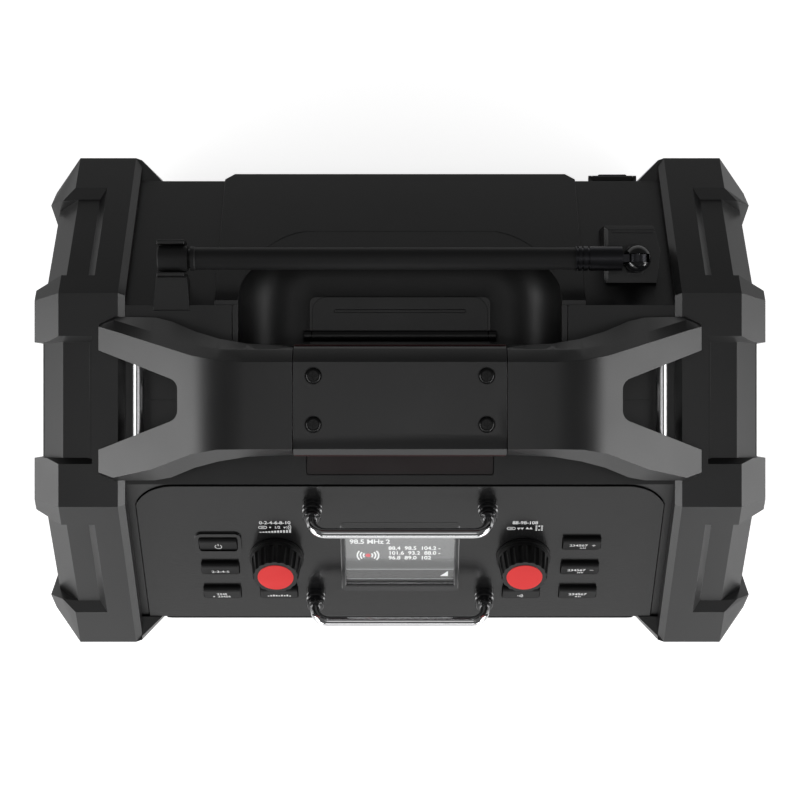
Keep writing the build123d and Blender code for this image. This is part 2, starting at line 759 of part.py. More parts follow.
for name, x in (("volume", -knob_x), ("tuning", knob_x)):
    with BuildPart() as shaft:
        with BuildSketch(panel_spot(x, knob_down, shaft_bottom)):
            Circle(shaft_radius)
        extrude(amount=shaft_top - shaft_bottom)
    write_step(shaft, f"{name}_shaft")

    with BuildPart() as knob:
        with BuildSketch(panel_spot(x, knob_down, knob_base)):
            Circle(knob_flange_radius)
        extrude(amount=knob_flange_thickness)
        for height, radius in ((knob_base + knob_flange_thickness, knob_base_radius),
                               (panel_proud + knob_height, knob_top_radius)):
            with BuildSketch(panel_spot(x, knob_down, height)):
                Circle(radius)
        loft()
        with BuildSketch(panel_spot(x, knob_down, knob_base + 2 * knob_flange_thickness)):
            with PolarLocations(knob_base_radius + 0.3, knob_flutes):
                Circle(knob_flute_radius)
        extrude(amount=knob_height, taper=-5, mode=Mode.SUBTRACT)
        with BuildSketch(panel_spot(x, knob_down, panel_proud + knob_height)):
            Circle(knob_cap_radius)
        extrude(amount=-knob_cap_depth, mode=Mode.SUBTRACT)
        with BuildSketch(panel_spot(x, knob_down, knob_base)):
            Circle(bushing_nut_radius + 1)
        extrude(amount=knob_roof - knob_base, mode=Mode.SUBTRACT)
        with BuildSketch(panel_spot(x, knob_down, knob_base)):
            Circle(shaft_radius)
        extrude(amount=shaft_top - knob_base, mode=Mode.SUBTRACT)
    write_step(knob, f"{name}_knob")

    with BuildPart() as cap:
        with BuildSketch(panel_spot(x, knob_down, panel_proud + knob_height - knob_cap_depth)):
            Circle(knob_cap_radius)
        extrude(amount=knob_cap_depth + 0.3)
        fillet(cap.edges().sort_by(panel_axis)[-1], radius=0.25)
    write_step(cap, f"{name}_knob_cap")

# ============================================================ guard bars
# Two bent rods stand over the screen. A moulded collar and the rod's own shoulder meet above
# the panel at each foot, and a nut pulls the foot down from behind.
for name, down in (("guard_bar_upper", bar_down_upper), ("guard_bar_lower", bar_down_lower)):
    foot = panel_spot(0, down, 0)
    bar_plane = Plane(origin=foot.origin, x_dir=(1, 0, 0), z_dir=(0, -slope_cos, -slope_sin))
    axis_height = panel_proud + bar_standoff
    with BuildPart() as bar:
        with BuildLine(bar_plane):
            route = FilletPolyline((-bar_half_span, -bar_tail), (-bar_half_span, axis_height),
                                   (bar_half_span, axis_height), (bar_half_span, -bar_tail),
                                   radius=bar_bend)
        with BuildSketch(Plane(origin=route @ 0, x_dir=(1, 0, 0), z_dir=route % 0)):
            Circle(bar_radius)
        sweep()
        with BuildSketch(panel_spot(0, 0, panel_proud + collar_height)):
            with Locations((-bar_half_span, -down), (bar_half_span, -down)):
                Circle(collar_radius)
        extrude(amount=collar_height - 0.6)
    write_step(bar, name)

with BuildPart() as guard_bar_fixings:
    with BuildSketch(panel_face):
        with Locations(*spots_on_panel(bar_spots)):
            Circle(collar_radius)
            Circle(bar_radius, mode=Mode.SUBTRACT)
    extrude(amount=collar_height)
    with BuildSketch(panel_back):
        with Locations(*spots_on_panel(bar_spots)):
            RegularPolygon(bar_nut_radius, 6)
            Circle(bar_radius, mode=Mode.SUBTRACT)
    extrude(amount=-bar_nut_height)
write_step(guard_bar_fixings, "guard_bar_fixings")

# ============================================================ carrying handle
# Two moulded arms run from the grip to forked ends that stand on the bumpers. A steel core
# joins them under the grip, a cover plate is screwed down over it, and a soft grip wraps below.
arm_fall = (handle_top - bumper_top - handle_end_height) / (handle_end - handle_knee)
arm_bottom = handle_top - handle_depth
core_middle = arm_bottom + handle_depth / 2 - 1.5


def arm_station(x, top, bottom, rear, front):
    """Cross-section of an arm: level top, a bevel and a flared flank on each side."""
    height = top - bottom
    rear_top, rear_bevel, rear_flank = rear
    front_top, front_flank = front
    with BuildSketch(Plane.YZ.offset(x)) as section:
        with BuildLine():
            Polyline((rear_top, top), (rear_bevel, top - 0.25 * height),
                     (rear_flank, top - 0.6 * height), (rear_flank - 2, bottom),
                     (2 - front_flank, bottom), (-front_flank, top - 0.5 * height),
                     (-front_top, top), close=True)
        make_face()
    return section.sketch


def arm_top(x):
    """Height of the falling part of the arm at a distance from the middle."""
    return handle_top - arm_fall * (x - handle_knee)


wrist_x = handle_knee + 13.0
fork_x = handle_knee + 26.0
heel_x = handle_knee + 35.0
sole_x = handle_end - 8.5
arm_stations = [
    arm_station(centre_half, handle_top, arm_bottom, (19.3, 25.4, 28.0), (24.9, 28.0)),
    arm_station(handle_flat_half, handle_top, arm_bottom, (19.2, 25.4, 28.8), (24.9, 29.0)),
    arm_station(handle_knee, handle_top - 2.2, arm_bottom - 4, (20.2, 25.9, 31.5), (25.2, 31.5)),
    arm_station(wrist_x, arm_top(wrist_x), arm_bottom - 13, (22.6, 28.2, 35.5), (27.5, 35.0)),
    arm_station(fork_x, arm_top(fork_x), arm_bottom - 22, (26.6, 32.5, 41.0), (32.3, 40.3)),
    arm_station(heel_x, arm_top(heel_x), bumper_top, (29.4, 35.2, 43.2), (35.7, 42.0)),
    arm_station(sole_x, arm_top(sole_x), bumper_top, (36.2, 42.0, 44.0), (40.6, 42.4)),
    arm_station(handle_end, arm_top(handle_end), bumper_top, (38.6, 39.4, 40.2), (38.0, 39.4)),
]

with BuildPart() as handle_right:
    for near, far in zip(arm_stations[:-1], arm_stations[1:]):
        add(near)
        add(far)
        loft(ruled=True)
    with BuildSketch(Plane.XY.offset(bumper_top - 1)) as notch:
        with BuildLine():
            Polyline((notch_inner, -notch_inner_half), (notch_inner, notch_inner_half),
                     (handle_end + 5, notch_outer_half + 2), (handle_end + 5, -notch_outer_half - 2),
                     close=True)
        make_face()
        fillet(notch.vertices().group_by(Axis.X)[0], radius=notch_round)
    extrude(amount=handle_depth * 3, mode=Mode.SUBTRACT)
    with BuildSketch(Plane.YZ.offset(centre_half - 1)):
        with Locations((0, core_middle)):
            Rectangle(2 * core_half_width, core_thickness)
    extrude(amount=core_half_length - centre_half + 1, mode=Mode.SUBTRACT)
    with BuildSketch(Plane.XZ.offset(-tie_bar_half)):
        with Locations((tie_bar_x, tie_bar_z)):
            Circle(tie_bar_radius)
    extrude(amount=2 * tie_bar_half, mode=Mode.SUBTRACT)

with BuildPart() as handle_left:
    add(handle_right.part)
    mirror(about=Plane.YZ, mode=Mode.REPLACE)

with BuildPart() as handle_core:
    with BuildSketch(Plane.YZ.offset(-core_half_length)):
        with Locations((0, core_middle)):
            Rectangle(2 * core_half_width, core_thickness)
    extrude(amount=2 * core_half_length)
    with BuildSketch(Plane.XY.offset(core_middle)):
        with GridLocations(2 * handle_screw_x, 2 * handle_screw_y, 2, 2):
            Circle(screw_shank_radius)
    extrude(amount=core_thickness, both=True, mode=Mode.SUBTRACT)

with BuildPart() as tie_bars:
    for side in (-1, 1):
        with BuildSketch(Plane.XZ.offset(-tie_bar_half)):
            with Locations((side * tie_bar_x, tie_bar_z)):
                Circle(tie_bar_radius)
        extrude(amount=2 * tie_bar_half)

plate_bottom = core_middle + core_thickness / 2
plate_half = centre_half - plate_gap
head_seat = handle_top + screw_head_proud - screw_head_height
with BuildPart() as handle_top_plate:
    with BuildSketch(Plane.YZ.offset(-plate_half)):
        with BuildLine():
            Polyline((19.3, handle_top), (-18.8, handle_top), (-24.9, handle_top - 1.8),
                     (-27.9, handle_top - 5.5), (-27.9, plate_bottom), (27.4, plate_bottom),
                     (25.9, handle_top - 5.5), close=True)
        make_face()
    extrude(amount=2 * plate_half)
    with BuildSketch(Plane.XY.offset(handle_top)):
        with GridLocations(2 * handle_screw_x, 2 * handle_screw_y, 2, 2):
            Circle(screw_head_radius + fit_gap)
    extrude(amount=head_seat - handle_top, mode=Mode.SUBTRACT)
    with BuildSketch(Plane.XY.offset(handle_top)):
        with GridLocations(2 * handle_screw_x, 2 * handle_screw_y, 2, 2):
            Circle(screw_shank_radius)
    extrude(amount=-2 * plate_thickness, mode=Mode.SUBTRACT)

with BuildPart() as handle_grip:
    with BuildSketch(Plane.YZ.offset(-plate_half)):
        with BuildLine():
            Polyline((-28.6, plate_bottom), (28.4, plate_bottom), (28.6, arm_bottom + 2),
                     (24, arm_bottom - 1), (-24, arm_bottom - 1), (-28.6, arm_bottom + 2), close=True)
        make_face()
    extrude(amount=2 * plate_half)
    fillet(handle_grip.edges().filter_by(Axis.X).group_by(Axis.Z)[0], radius=3)
    with BuildSketch(Plane.YZ.offset(-centre_half)):
        with Locations((0, core_middle)):
            Rectangle(2 * core_half_width, core_thickness)
    extrude(amount=2 * centre_half, mode=Mode.SUBTRACT)

with BuildPart() as handle_screws:
    with BuildSketch(Plane.XY.offset(head_seat)):
        with GridLocations(2 * handle_screw_x, 2 * handle_screw_y, 2, 2):
            Circle(screw_head_radius)
    extrude(amount=screw_head_height)
    fillet(handle_screws.edges().group_by(Axis.Z)[-1], radius=1.6)
    with BuildSketch(Plane.XY.offset(handle_top + screw_head_proud)):
        with GridLocations(2 * handle_screw_x, 2 * handle_screw_y, 2, 2):
            Rectangle(screw_head_radius, screw_slot_width)
            Rectangle(screw_slot_width, screw_head_radius)
    extrude(amount=-1.5, mode=Mode.SUBTRACT)
    with BuildSketch(Plane.XY.offset(head_seat)):
        with GridLocations(2 * handle_screw_x, 2 * handle_screw_y, 2, 2):
            Circle(screw_shank_radius)
    extrude(amount=core_middle - core_thickness / 2 - head_seat)

write_step(handle_right, "handle_right")
write_step(handle_left, "handle_left")
write_step(handle_core, "handle_core")
write_step(tie_bars, "tie_bars")
write_step(handle_top_plate, "handle_top_plate")
write_step(handle_grip, "handle_grip")
write_step(handle_screws, "handle_screws")

# ============================================================ rear hood, finger pocket and port flap
# One moulding covers the rear slope. A pocket for the fingers is sunk into it and runs under the
# handle; the flap on the pocket's floor turns on a pin and closes over the sockets.
hood_slope_level = body_rear_edge * slope_sin + body_top * slope_cos + hood_proud
hood_shoulder = (hood_slope_level - hood_rear * slope_sin) / slope_cos
hood_top_y = body_rear_edge + hood_proud * slope_sin
hood_top_z = body_top + hood_proud * slope_cos
hood_lip_bottom = door_top + 1.0
hood_slab = [(body_rear_edge, body_top), (hood_top_y, hood_top_z), (hood_rear, hood_shoulder),
             (hood_rear, hood_lip_bottom), (body_rear, hood_lip_bottom),
             (body_rear, body_rear_shoulder)]
hood_limits = [(pocket_front - 2 * pocket_wall, 0), (pocket_front - 2 * pocket_wall, body_top),
               (body_rear_edge, body_top), (hood_top_y, hood_top_z), (hood_rear, hood_shoulder),
               (hood_rear, 0)]
flap_pivot_z = pocket_floor + flap_pivot_rise
ear_start = flap_half_width + fit_gap
pocket_top = body_top + 2 * hood_proud

with BuildPart() as pocket_tub:
    extrude(pocket_plan(pocket_wall, pocket_floor - pocket_wall), amount=pocket_top - pocket_floor,
            dir=(0, 0, 1))
    add(prism(hood_limits, -hood_half_width, hood_half_width), mode=Mode.INTERSECT)

with BuildPart() as rear_hood:
    add(prism(hood_slab, -hood_half_width, hood_half_width))
    chamfer(rear_hood.faces().sort_by(rear_axis)[-1].edges().filter_by(Plane.YZ), hood_chamfer)
    add(pocket_tub.part)
    extrude(pocket_plan(0, pocket_floor), amount=pocket_top - pocket_floor, dir=(0, 0, 1),
            mode=Mode.SUBTRACT)
    for side in (-1, 1):
        with BuildSketch(Plane.YZ.offset(side * (ear_start + ear_width / 2))):
            with Locations((flap_pivot_y, pocket_floor + flap_pivot_rise / 2)):
                Rectangle(2 * flap_barrel_radius, flap_pivot_rise)
            with Locations((flap_pivot_y, flap_pivot_z)):
                Circle(flap_barrel_radius)
                Circle(flap_pin_radius, mode=Mode.SUBTRACT)
        extrude(amount=ear_width / 2, both=True)
    with BuildSketch(Plane.XY.offset(pocket_floor)):
        with Locations((0, (port_front + port_rear) / 2)):
            RectangleRounded(2 * port_half_width, port_rear - port_front, 2)
    extrude(amount=-2 * pocket_wall, mode=Mode.SUBTRACT)

with BuildPart() as port_flap:
    flap_front = flap_pivot_y + flap_barrel_radius / 2
    with BuildSketch(Plane.XY.offset(pocket_floor + flap_lift)) as flap_plan:
        with BuildLine():
            Polyline((-flap_half_width, flap_front), (flap_half_width, flap_front),
                     (flap_half_width, flap_rear), (-flap_half_width, flap_rear), close=True)
        make_face()
        fillet(flap_plan.vertices().group_by(Axis.Y)[-1], radius=flap_corner)
    extrude(amount=flap_thickness)
    with BuildSketch(Plane.XY.offset(pocket_floor + flap_lift + flap_thickness)):
        with Locations((0, (flap_front + flap_rear) / 2 + 2.2)):
            SlotOverall(1.5 * flap_half_width, 1.6)
    extrude(amount=-flap_thickness / 2, mode=Mode.SUBTRACT)
    with BuildSketch(Plane.YZ.offset(-flap_half_width)):
        with Locations((flap_pivot_y, flap_pivot_z)):
            Circle(flap_barrel_radius)
    extrude(amount=2 * flap_half_width)
    with BuildSketch(Plane.YZ.offset(-flap_half_width)):
        with Locations((flap_pivot_y, flap_pivot_z)):
            Circle(flap_pin_radius + running_gap)
    extrude(amount=2 * flap_half_width, mode=Mode.SUBTRACT)

with BuildPart() as port_flap_pin:
    with BuildSketch(Plane.YZ.offset(-ear_start - ear_width)):
        with Locations((flap_pivot_y, flap_pivot_z)):
            Circle(flap_pin_radius)
    extrude(amount=2 * (ear_start + ear_width))

# The socket plate lies under the pocket's floor: two square sockets and a round one.
socket_spots = (-24.0, 0.0)
jack_spot = 24.0
socket_width = 13.0
socket_height = 6.0
socket_wall = 1.0
jack_radius = 4.5
jack_bore = 1.9
with BuildPart() as port_panel:
    plate_top = pocket_floor - pocket_wall
    with BuildSketch(Plane.XY.offset(plate_top - port_plate_thickness)):
        with Locations((0, (port_front + port_rear) / 2)):
            Rectangle(2 * port_half_width + 6, port_rear - port_front + 6)
    extrude(amount=port_plate_thickness)
    with BuildSketch(Plane.XY.offset(plate_top)):
        with Locations(*[(x, (port_front + port_rear) / 2) for x in socket_spots]):
            Rectangle(socket_width, socket_height)
            Rectangle(socket_width - 2 * socket_wall, socket_height - 2 * socket_wall,
                      mode=Mode.SUBTRACT)
        with Locations((jack_spot, (port_front + port_rear) / 2)):
            Circle(jack_radius)
            Circle(jack_bore, mode=Mode.SUBTRACT)
    extrude(amount=pocket_wall / 2)

write_step(rear_hood, "rear_hood")
write_step(port_flap, "port_flap")
write_step(port_flap_pin, "port_flap_pin")
write_step(port_panel, "port_panel")

# ============================================================ battery bay
# A tray with two columns of cells sits behind a door that drops open on a pin along its foot.
cell_column = cell_length / 2 + 0.5
cell_y = body_rear - cell_radius - 1.5
cell_z = [bay_bottom + cell_pitch / 2 + 0.5 + row * cell_pitch for row in range(cell_rows)]
tray_half = cell_bay_half_width
with BuildPart() as battery_tray:
    with BuildSketch(face_plane.offset(wall)):
        with Locations((0, bay_bottom + bay_inner_height / 2)):
            Rectangle(2 * tray_half + 2 * bay_wall + 6, bay_inner_height + 2 * bay_wall + 6)
            Rectangle(2 * tray_half, bay_inner_height, mode=Mode.SUBTRACT)
    extrude(amount=bay_wall)
    with BuildSketch(face_plane.offset(wall)):
        with Locations((0, bay_bottom + bay_inner_height / 2)):
            Rectangle(2 * tray_half + 2 * bay_wall, bay_inner_height + 2 * bay_wall)
            Rectangle(2 * tray_half, bay_inner_height, mode=Mode.SUBTRACT)
    extrude(amount=body_rear - wall - bay_front)
    with BuildSketch(face_plane.offset(body_rear - bay_front)):
        with Locations((0, bay_bottom + bay_inner_height / 2)):
            Rectangle(2 * tray_half + 2 * bay_wall, bay_inner_height + 2 * bay_wall)
    extrude(amount=bay_wall)
    for z in cell_z:
        with BuildSketch(Plane.YZ.offset(-tray_half)):
            with Locations((cell_y - cell_radius - 0.9, z)):
                Rectangle(1.4, cell_pitch / 2)
        extrude(amount=2 * tray_half)

with BuildPart() as battery_cells:
    for column in (-1, 1):
        for z in cell_z:
            with BuildSketch(Plane.YZ.offset(column * cell_column - cell_length / 2)):
                with Locations((cell_y, z)):
                    Circle(cell_radius)
            extrude(amount=cell_length - 1.5)
            with BuildSketch(Plane.YZ.offset(column * cell_column + cell_length / 2 - 1.5)):
                with Locations((cell_y, z)):
                    Circle(4.7)
            extrude(amount=1.5)

with BuildPart() as battery_door:
    with BuildSketch(Plane.XZ.offset(-door_face)) as door_plan:
        with Locations((0, (door_bottom + door_top) / 2)):
            RectangleRounded(2 * door_half, door_top - door_bottom, 4)
    extrude(amount=-door_thickness)
    for side in (-1, 1):
        with BuildSketch(Plane.XZ.offset(-door_face)):
            with Locations((side * (door_ear_start + ear_width / 2), door_pivot_z)):
                Rectangle(ear_width + 2 * fit_gap, 2.6 * door_barrel_radius)
        extrude(amount=-door_thickness, mode=Mode.SUBTRACT)
    with BuildSketch(Plane.YZ.offset(-door_ear_start + fit_gap)):
        with BuildLine():
            Polyline((door_face, door_bottom + 5), (door_face + door_thickness, door_bottom + 5),
                     (door_pivot_y + door_barrel_radius, door_pivot_z),
                     (door_face, door_pivot_z), close=True)
        make_face()
        with Locations((door_pivot_y, door_pivot_z)):
            Circle(door_barrel_radius)
    extrude(amount=2 * (door_ear_start - fit_gap))
    with BuildSketch(Plane.XZ.offset(-door_face - door_thickness)):
        with Locations((0, (door_bottom + door_top) / 2 - 4)):
            with GridLocations(0, 14, 1, 5):
                SlotOverall(1.3 * door_half, 5)
    extrude(amount=1.2, mode=Mode.SUBTRACT)
    with BuildSketch(Plane.XZ.offset(-door_face - door_thickness)):
        with Locations((0, door_top - 7)):
            RectangleRounded(34, 9, 2)
    extrude(amount=-1.6)
    with BuildSketch(Plane.YZ.offset(-door_half)):
        with Locations((door_pivot_y, door_pivot_z)):
            Circle(door_pin_radius + running_gap)
    extrude(amount=2 * door_half, mode=Mode.SUBTRACT)

with BuildPart() as battery_door_pin:
    with BuildSketch(Plane.YZ.offset(-door_ear_start - ear_width)):
        with Locations((door_pivot_y, door_pivot_z)):
            Circle(door_pin_radius)
    extrude(amount=2 * (door_ear_start + ear_width))

write_step(battery_tray, "battery_tray")
write_step(battery_cells, "battery_cells")
write_step(battery_door, "battery_door")
write_step(battery_door_pin, "battery_door_pin")

# ============================================================ antenna
# The rod lies across the rear in a clip. Its flat tongue turns on a pin in a slotted ball that
# is screwed down on a block at the right-hand end of the rear slope.
def slope_height(y):
    """Height of the rear slope's surface at a distance behind the middle."""
    return body_top - (y - body_rear_edge) * slope_tan


antenna_axis = Axis((0, antenna_y, antenna_z), (1, 0, 0))
rod_plane = Plane(origin=(0, antenna_y, antenna_z), x_dir=(1, 0, 0), z_dir=(0, -1, 0))

base_front = antenna_y - antenna_base_front
base_rear = antenna_y + antenna_base_rear
base_left = antenna_pivot_x - antenna_base_left
base_right = antenna_pivot_x + antenna_base_right
base_profile = [(base_front, antenna_base_top), (base_rear, antenna_base_top),
                (base_rear, slope_height(base_rear)), (base_front, slope_height(base_front))]
with BuildPart() as antenna_base:
    with BuildSketch(Plane.XY.offset(slope_height(base_rear))):
        with BuildLine():
            Polyline((base_left, base_front), (base_right - 1.9, base_front),
                     (base_right, antenna_y + 4.8), (base_right - 3.5, base_rear),
                     (base_left, base_rear), close=True)
        make_face()
    extrude(amount=antenna_base_top - slope_height(base_rear))
    rims = antenna_base.edges().group_by(Axis.Z)[-1]
    chamfer([rims.sort_by(Axis.Y)[-1], rims.sort_by(Axis.X)[0]], length=2.2)
    add(prism(base_profile, base_left - 1, base_right + 1), mode=Mode.INTERSECT)
    with BuildSketch(Plane.XY.offset(antenna_base_top)):
        with Locations((antenna_pivot_x - 1.0, base_rear - 3.2)):
            Rectangle(antenna_lip_width, antenna_lip_depth)
    extrude(amount=1.2)

with BuildPart() as antenna_swivel:
    with BuildSketch(Plane.XY.offset(antenna_base_top)):
        with Locations((antenna_pivot_x, antenna_y)):
            RegularPolygon(antenna_nut_radius, 6)
    extrude(amount=antenna_nut_height)
    with BuildSketch(Plane.XY.offset(antenna_base_top + antenna_nut_height)):
        with Locations((antenna_pivot_x, antenna_y)):
            Circle(ball_radius * 0.75)
    extrude(amount=antenna_z - antenna_base_top - antenna_nut_height)
    with Locations((antenna_pivot_x, antenna_y, antenna_z)):
        Sphere(ball_radius)
    tongue_room = ball_radius - 1.3
    with BuildSketch(Plane.XZ.offset(-antenna_y)):
        with Locations((antenna_pivot_x, antenna_z)):
            Rectangle(2 * ball_radius, 2 * ball_radius, align=(Align.MAX, Align.MIN))
            Rectangle(2 * ball_radius, tongue_room, align=(Align.MAX, Align.MAX))
            Rectangle(tongue_room, 2 * ball_radius, align=(Align.MIN, Align.MIN))
            Circle(tongue_room)
    extrude(amount=ball_slot / 2, both=True, mode=Mode.SUBTRACT)
    with BuildSketch(Plane.XZ.offset(-antenna_y)):
        with Locations((antenna_pivot_x, antenna_z)):
            Circle(antenna_pin_radius)
    extrude(amount=ball_radius, both=True, mode=Mode.SUBTRACT)

with BuildPart() as antenna_pin:
    with BuildSketch(Plane.XZ.offset(-antenna_y)):
        with Locations((antenna_pivot_x, antenna_z)):
            Circle(antenna_pin_radius)
    extrude(amount=ball_radius - 0.2, both=True)

groove_depth = 0.9
groove_width = 1.0
with BuildPart() as antenna_ferrule:
    with BuildSketch(rod_plane):
        with Locations((antenna_ferrule_start, 0)):
            Rectangle(antenna_ferrule_end - antenna_ferrule_start, antenna_ferrule_radius,
                      align=(Align.MIN, Align.MIN))
        for groove in (1.1, 3.7, 6.9):
            with Locations((antenna_ferrule_start + groove, antenna_ferrule_radius)):
                Rectangle(groove_width, 2 * groove_depth, mode=Mode.SUBTRACT)
    revolve(axis=antenna_axis)
    with BuildSketch(Plane.XZ.offset(-antenna_y)):
        with Locations((antenna_ferrule_end - 1, antenna_z)):
            Rectangle(antenna_pivot_x - antenna_ferrule_end + 1, 1.6 * antenna_tongue,
                      align=(Align.MIN, Align.CENTER))
        with Locations((antenna_pivot_x, antenna_z)):
            Circle(tongue_room - fit_gap)
    extrude(amount=antenna_tongue / 2, both=True)
    with BuildSketch(Plane.XZ.offset(-antenna_y)):
        with Locations((antenna_pivot_x, antenna_z)):
            Circle(antenna_pin_radius + running_gap)
    extrude(amount=ball_radius, both=True, mode=Mode.SUBTRACT)

with BuildPart() as antenna_rod:
    cap_end = antenna_tip_x + antenna_cap_length
    with BuildSketch(rod_plane):
        with BuildLine():
            Polyline((antenna_tip_x, 0), (antenna_tip_x, antenna_cap_radius),
                     (cap_end, antenna_cap_radius), (cap_end, antenna_rod_radius - 0.8),
                     (cap_end + 1.5, antenna_rod_radius - 0.8), (cap_end + 1.5, antenna_rod_radius + 0.5),
                     (cap_end + 3.5, antenna_rod_radius + 0.5), (cap_end + 4.2, antenna_rod_radius),
                     (antenna_ferrule_start, antenna_rod_radius), (antenna_ferrule_start, 0),
                     close=True)
        make_face()
    revolve(axis=antenna_axis)
    fillet(antenna_rod.edges().group_by(Axis.X)[0], radius=1.2)

clip_gap = 0.4
cradle_front = antenna_y - antenna_cap_radius - clip_gap - clip_wall
cradle_rear = antenna_y + antenna_cap_radius + clip_gap + clip_wall
cradle_floor = antenna_z - antenna_cap_radius - clip_gap
prong_top = antenna_z + antenna_cap_radius - 2.0
clip_plan = [(clip_x - clip_arm_front_half, clip_arm_front), (clip_x + clip_arm_front_half, clip_arm_front),
             (clip_x + clip_arm_rear_half, cradle_front), (clip_x + clip_half_width, cradle_front),
             (clip_x + clip_half_width, cradle_rear), (clip_x - clip_half_width, cradle_rear),
             (clip_x - clip_half_width, cradle_front), (clip_x - clip_arm_rear_half, cradle_front)]
with BuildPart() as antenna_clip:
    with BuildSketch(Plane.YZ.offset(clip_x - clip_arm_front_half)):
        with BuildLine():
            Polyline((clip_arm_front, body_top), (clip_arm_front, body_top + 1.2),
                     (cradle_front, body_top + 1.2), (cradle_front, prong_top),
                     (cradle_front + clip_wall, prong_top), (cradle_front + clip_wall, cradle_floor),
                     (cradle_rear - clip_wall, cradle_floor), (cradle_rear - clip_wall, prong_top),
                     (cradle_rear, prong_top), (cradle_rear, cradle_floor - clip_floor),
                     (cradle_front + clip_wall, cradle_floor - clip_floor),
                     (cradle_front + clip_wall, slope_height(cradle_front + clip_wall)),
                     (body_rear_edge, body_top), close=True)
        make_face()
    extrude(amount=2 * clip_arm_front_half)
    with BuildSketch(Plane.XY.offset(slope_height(cradle_rear))):
        with BuildLine():
            Polyline(*clip_plan, close=True)
        make_face()
    extrude(amount=prong_top - slope_height(cradle_rear), mode=Mode.INTERSECT)

write_step(antenna_base, "antenna_base")
write_step(antenna_swivel, "antenna_swivel")
write_step(antenna_pin, "antenna_pin")
write_step(antenna_ferrule, "antenna_ferrule")
write_step(antenna_rod, "antenna_rod")
write_step(antenna_clip, "antenna_clip")

# ============================================================ speakers, grille and main board
# Two round drive units stand behind the front face, which a perforated sheet covers.
frame_inner = speaker_flange - 5.5
frame_back = magnet_radius + 3
frame_wall = 2.0


def speaker_plane(x):
    """Plane through a speaker's axis: local x is the radius, local y runs back into the radio."""
    return Plane(origin=(x, wall - body_front, speaker_z), x_dir=(1, 0, 0), z_dir=(0, 0, 1))


with BuildPart() as speaker_frames:
    for x in (-speaker_x, speaker_x):
        with BuildSketch(speaker_plane(x)):
            with BuildLine():
                Polyline((frame_inner, 0), (speaker_flange, 0),
                         (speaker_flange, speaker_flange_thickness),
                         (frame_inner + frame_wall, speaker_flange_thickness),
                         (frame_back, speaker_depth - frame_wall), (frame_back, speaker_depth),
                         (magnet_radius / 3, speaker_depth),
                         (magnet_radius / 3, speaker_depth - frame_wall),
                         (frame_back - frame_wall, speaker_depth - frame_wall),
                         (frame_inner, speaker_flange_thickness), close=True)
            make_face()
        revolve(axis=Axis((x, 0, speaker_z), (0, 1, 0)))

with BuildPart() as speaker_magnets:
    for x in (-speaker_x, speaker_x):
        with BuildSketch(Plane.XZ.offset(body_front - wall - speaker_depth)):
            with Locations((x, speaker_z)):
                Circle(magnet_radius)
        extrude(amount=-magnet_thickness)

with BuildPart() as speaker_cones:
    for x in (-speaker_x, speaker_x):
        with BuildSketch(speaker_plane(x)):
            with BuildLine():
                Polyline((frame_inner, 1.0), (frame_inner - 5, 1.0), (frame_inner - 8, 3.2),
                         (13, 17), (0, 13), (0, 14.4), (13, 18.6), (frame_inner - 8, 4.8),
                         (frame_inner - 5, 2.4), (frame_inner, 2.4), close=True)
            make_face()
        revolve(axis=Axis((x, 0, speaker_z), (0, 1, 0)))

grille_border = 2.0
hole_room = 2 * (grille_border + grille_hole)
grille_columns = int((2 * grille_half_width - hole_room) / (3 ** 0.5 * grille_pitch)) + 1
grille_rows = int((grille_top - grille_bottom - hole_room) / (2 * grille_pitch) + 0.5)
with BuildPart() as speaker_grille:
    with BuildSketch(Plane.XZ.offset(body_front)):
        with Locations((0, (grille_bottom + grille_top) / 2)):
            RectangleRounded(2 * grille_half_width, grille_top - grille_bottom, 5)
            with HexLocations(grille_pitch, grille_columns, grille_rows):
                RegularPolygon(grille_hole, 6, mode=Mode.SUBTRACT)
    extrude(amount=grille_thickness)

board_z = body_bottom + wall + main_board_lift
with BuildPart() as main_board:
    with BuildSketch(Plane.XY.offset(board_z)):
        with Locations((0, (main_board_front + main_board_rear) / 2)):
            Rectangle(2 * main_board_half_width, main_board_rear - main_board_front)
    extrude(amount=board_thickness)
    with BuildSketch(Plane.XY.offset(board_z + board_thickness)):
        with Locations((-30, main_board_front + 22)):
            Rectangle(60, 18)
        with Locations((40, main_board_front + 22), (40, main_board_front + 44)):
            Rectangle(14, 14)
        with Locations((68, main_board_front + 32)):
            Circle(8)
    extrude(amount=14)

write_step(speaker_frames, "speaker_frames")
write_step(speaker_magnets, "speaker_magnets")
write_step(speaker_cones, "speaker_cones")
write_step(speaker_grille, "speaker_grille")
write_step(main_board, "main_board")

# ============================================================ power inlet
# A round socket behind the rear wall, under a rubber cover that lifts on its own trunnions.
with BuildPart() as power_inlet:
    with BuildSketch(face_plane.offset(wall)):
        with Locations((inlet_x, inlet_z)):
            Rectangle(3 * inlet_radius, 3 * inlet_radius)
    extrude(amount=2 * inlet_radius)
    with BuildSketch(face_plane):
        with Locations((inlet_x, inlet_z)):
            Circle(inlet_radius)
    extrude(amount=wall)
    with BuildSketch(face_plane):
        with Locations((inlet_x, inlet_z)):
            Circle(inlet_radius / 2)
            Circle(inlet_radius / 5, mode=Mode.SUBTRACT)
    extrude(amount=1.6 * inlet_radius, mode=Mode.SUBTRACT)

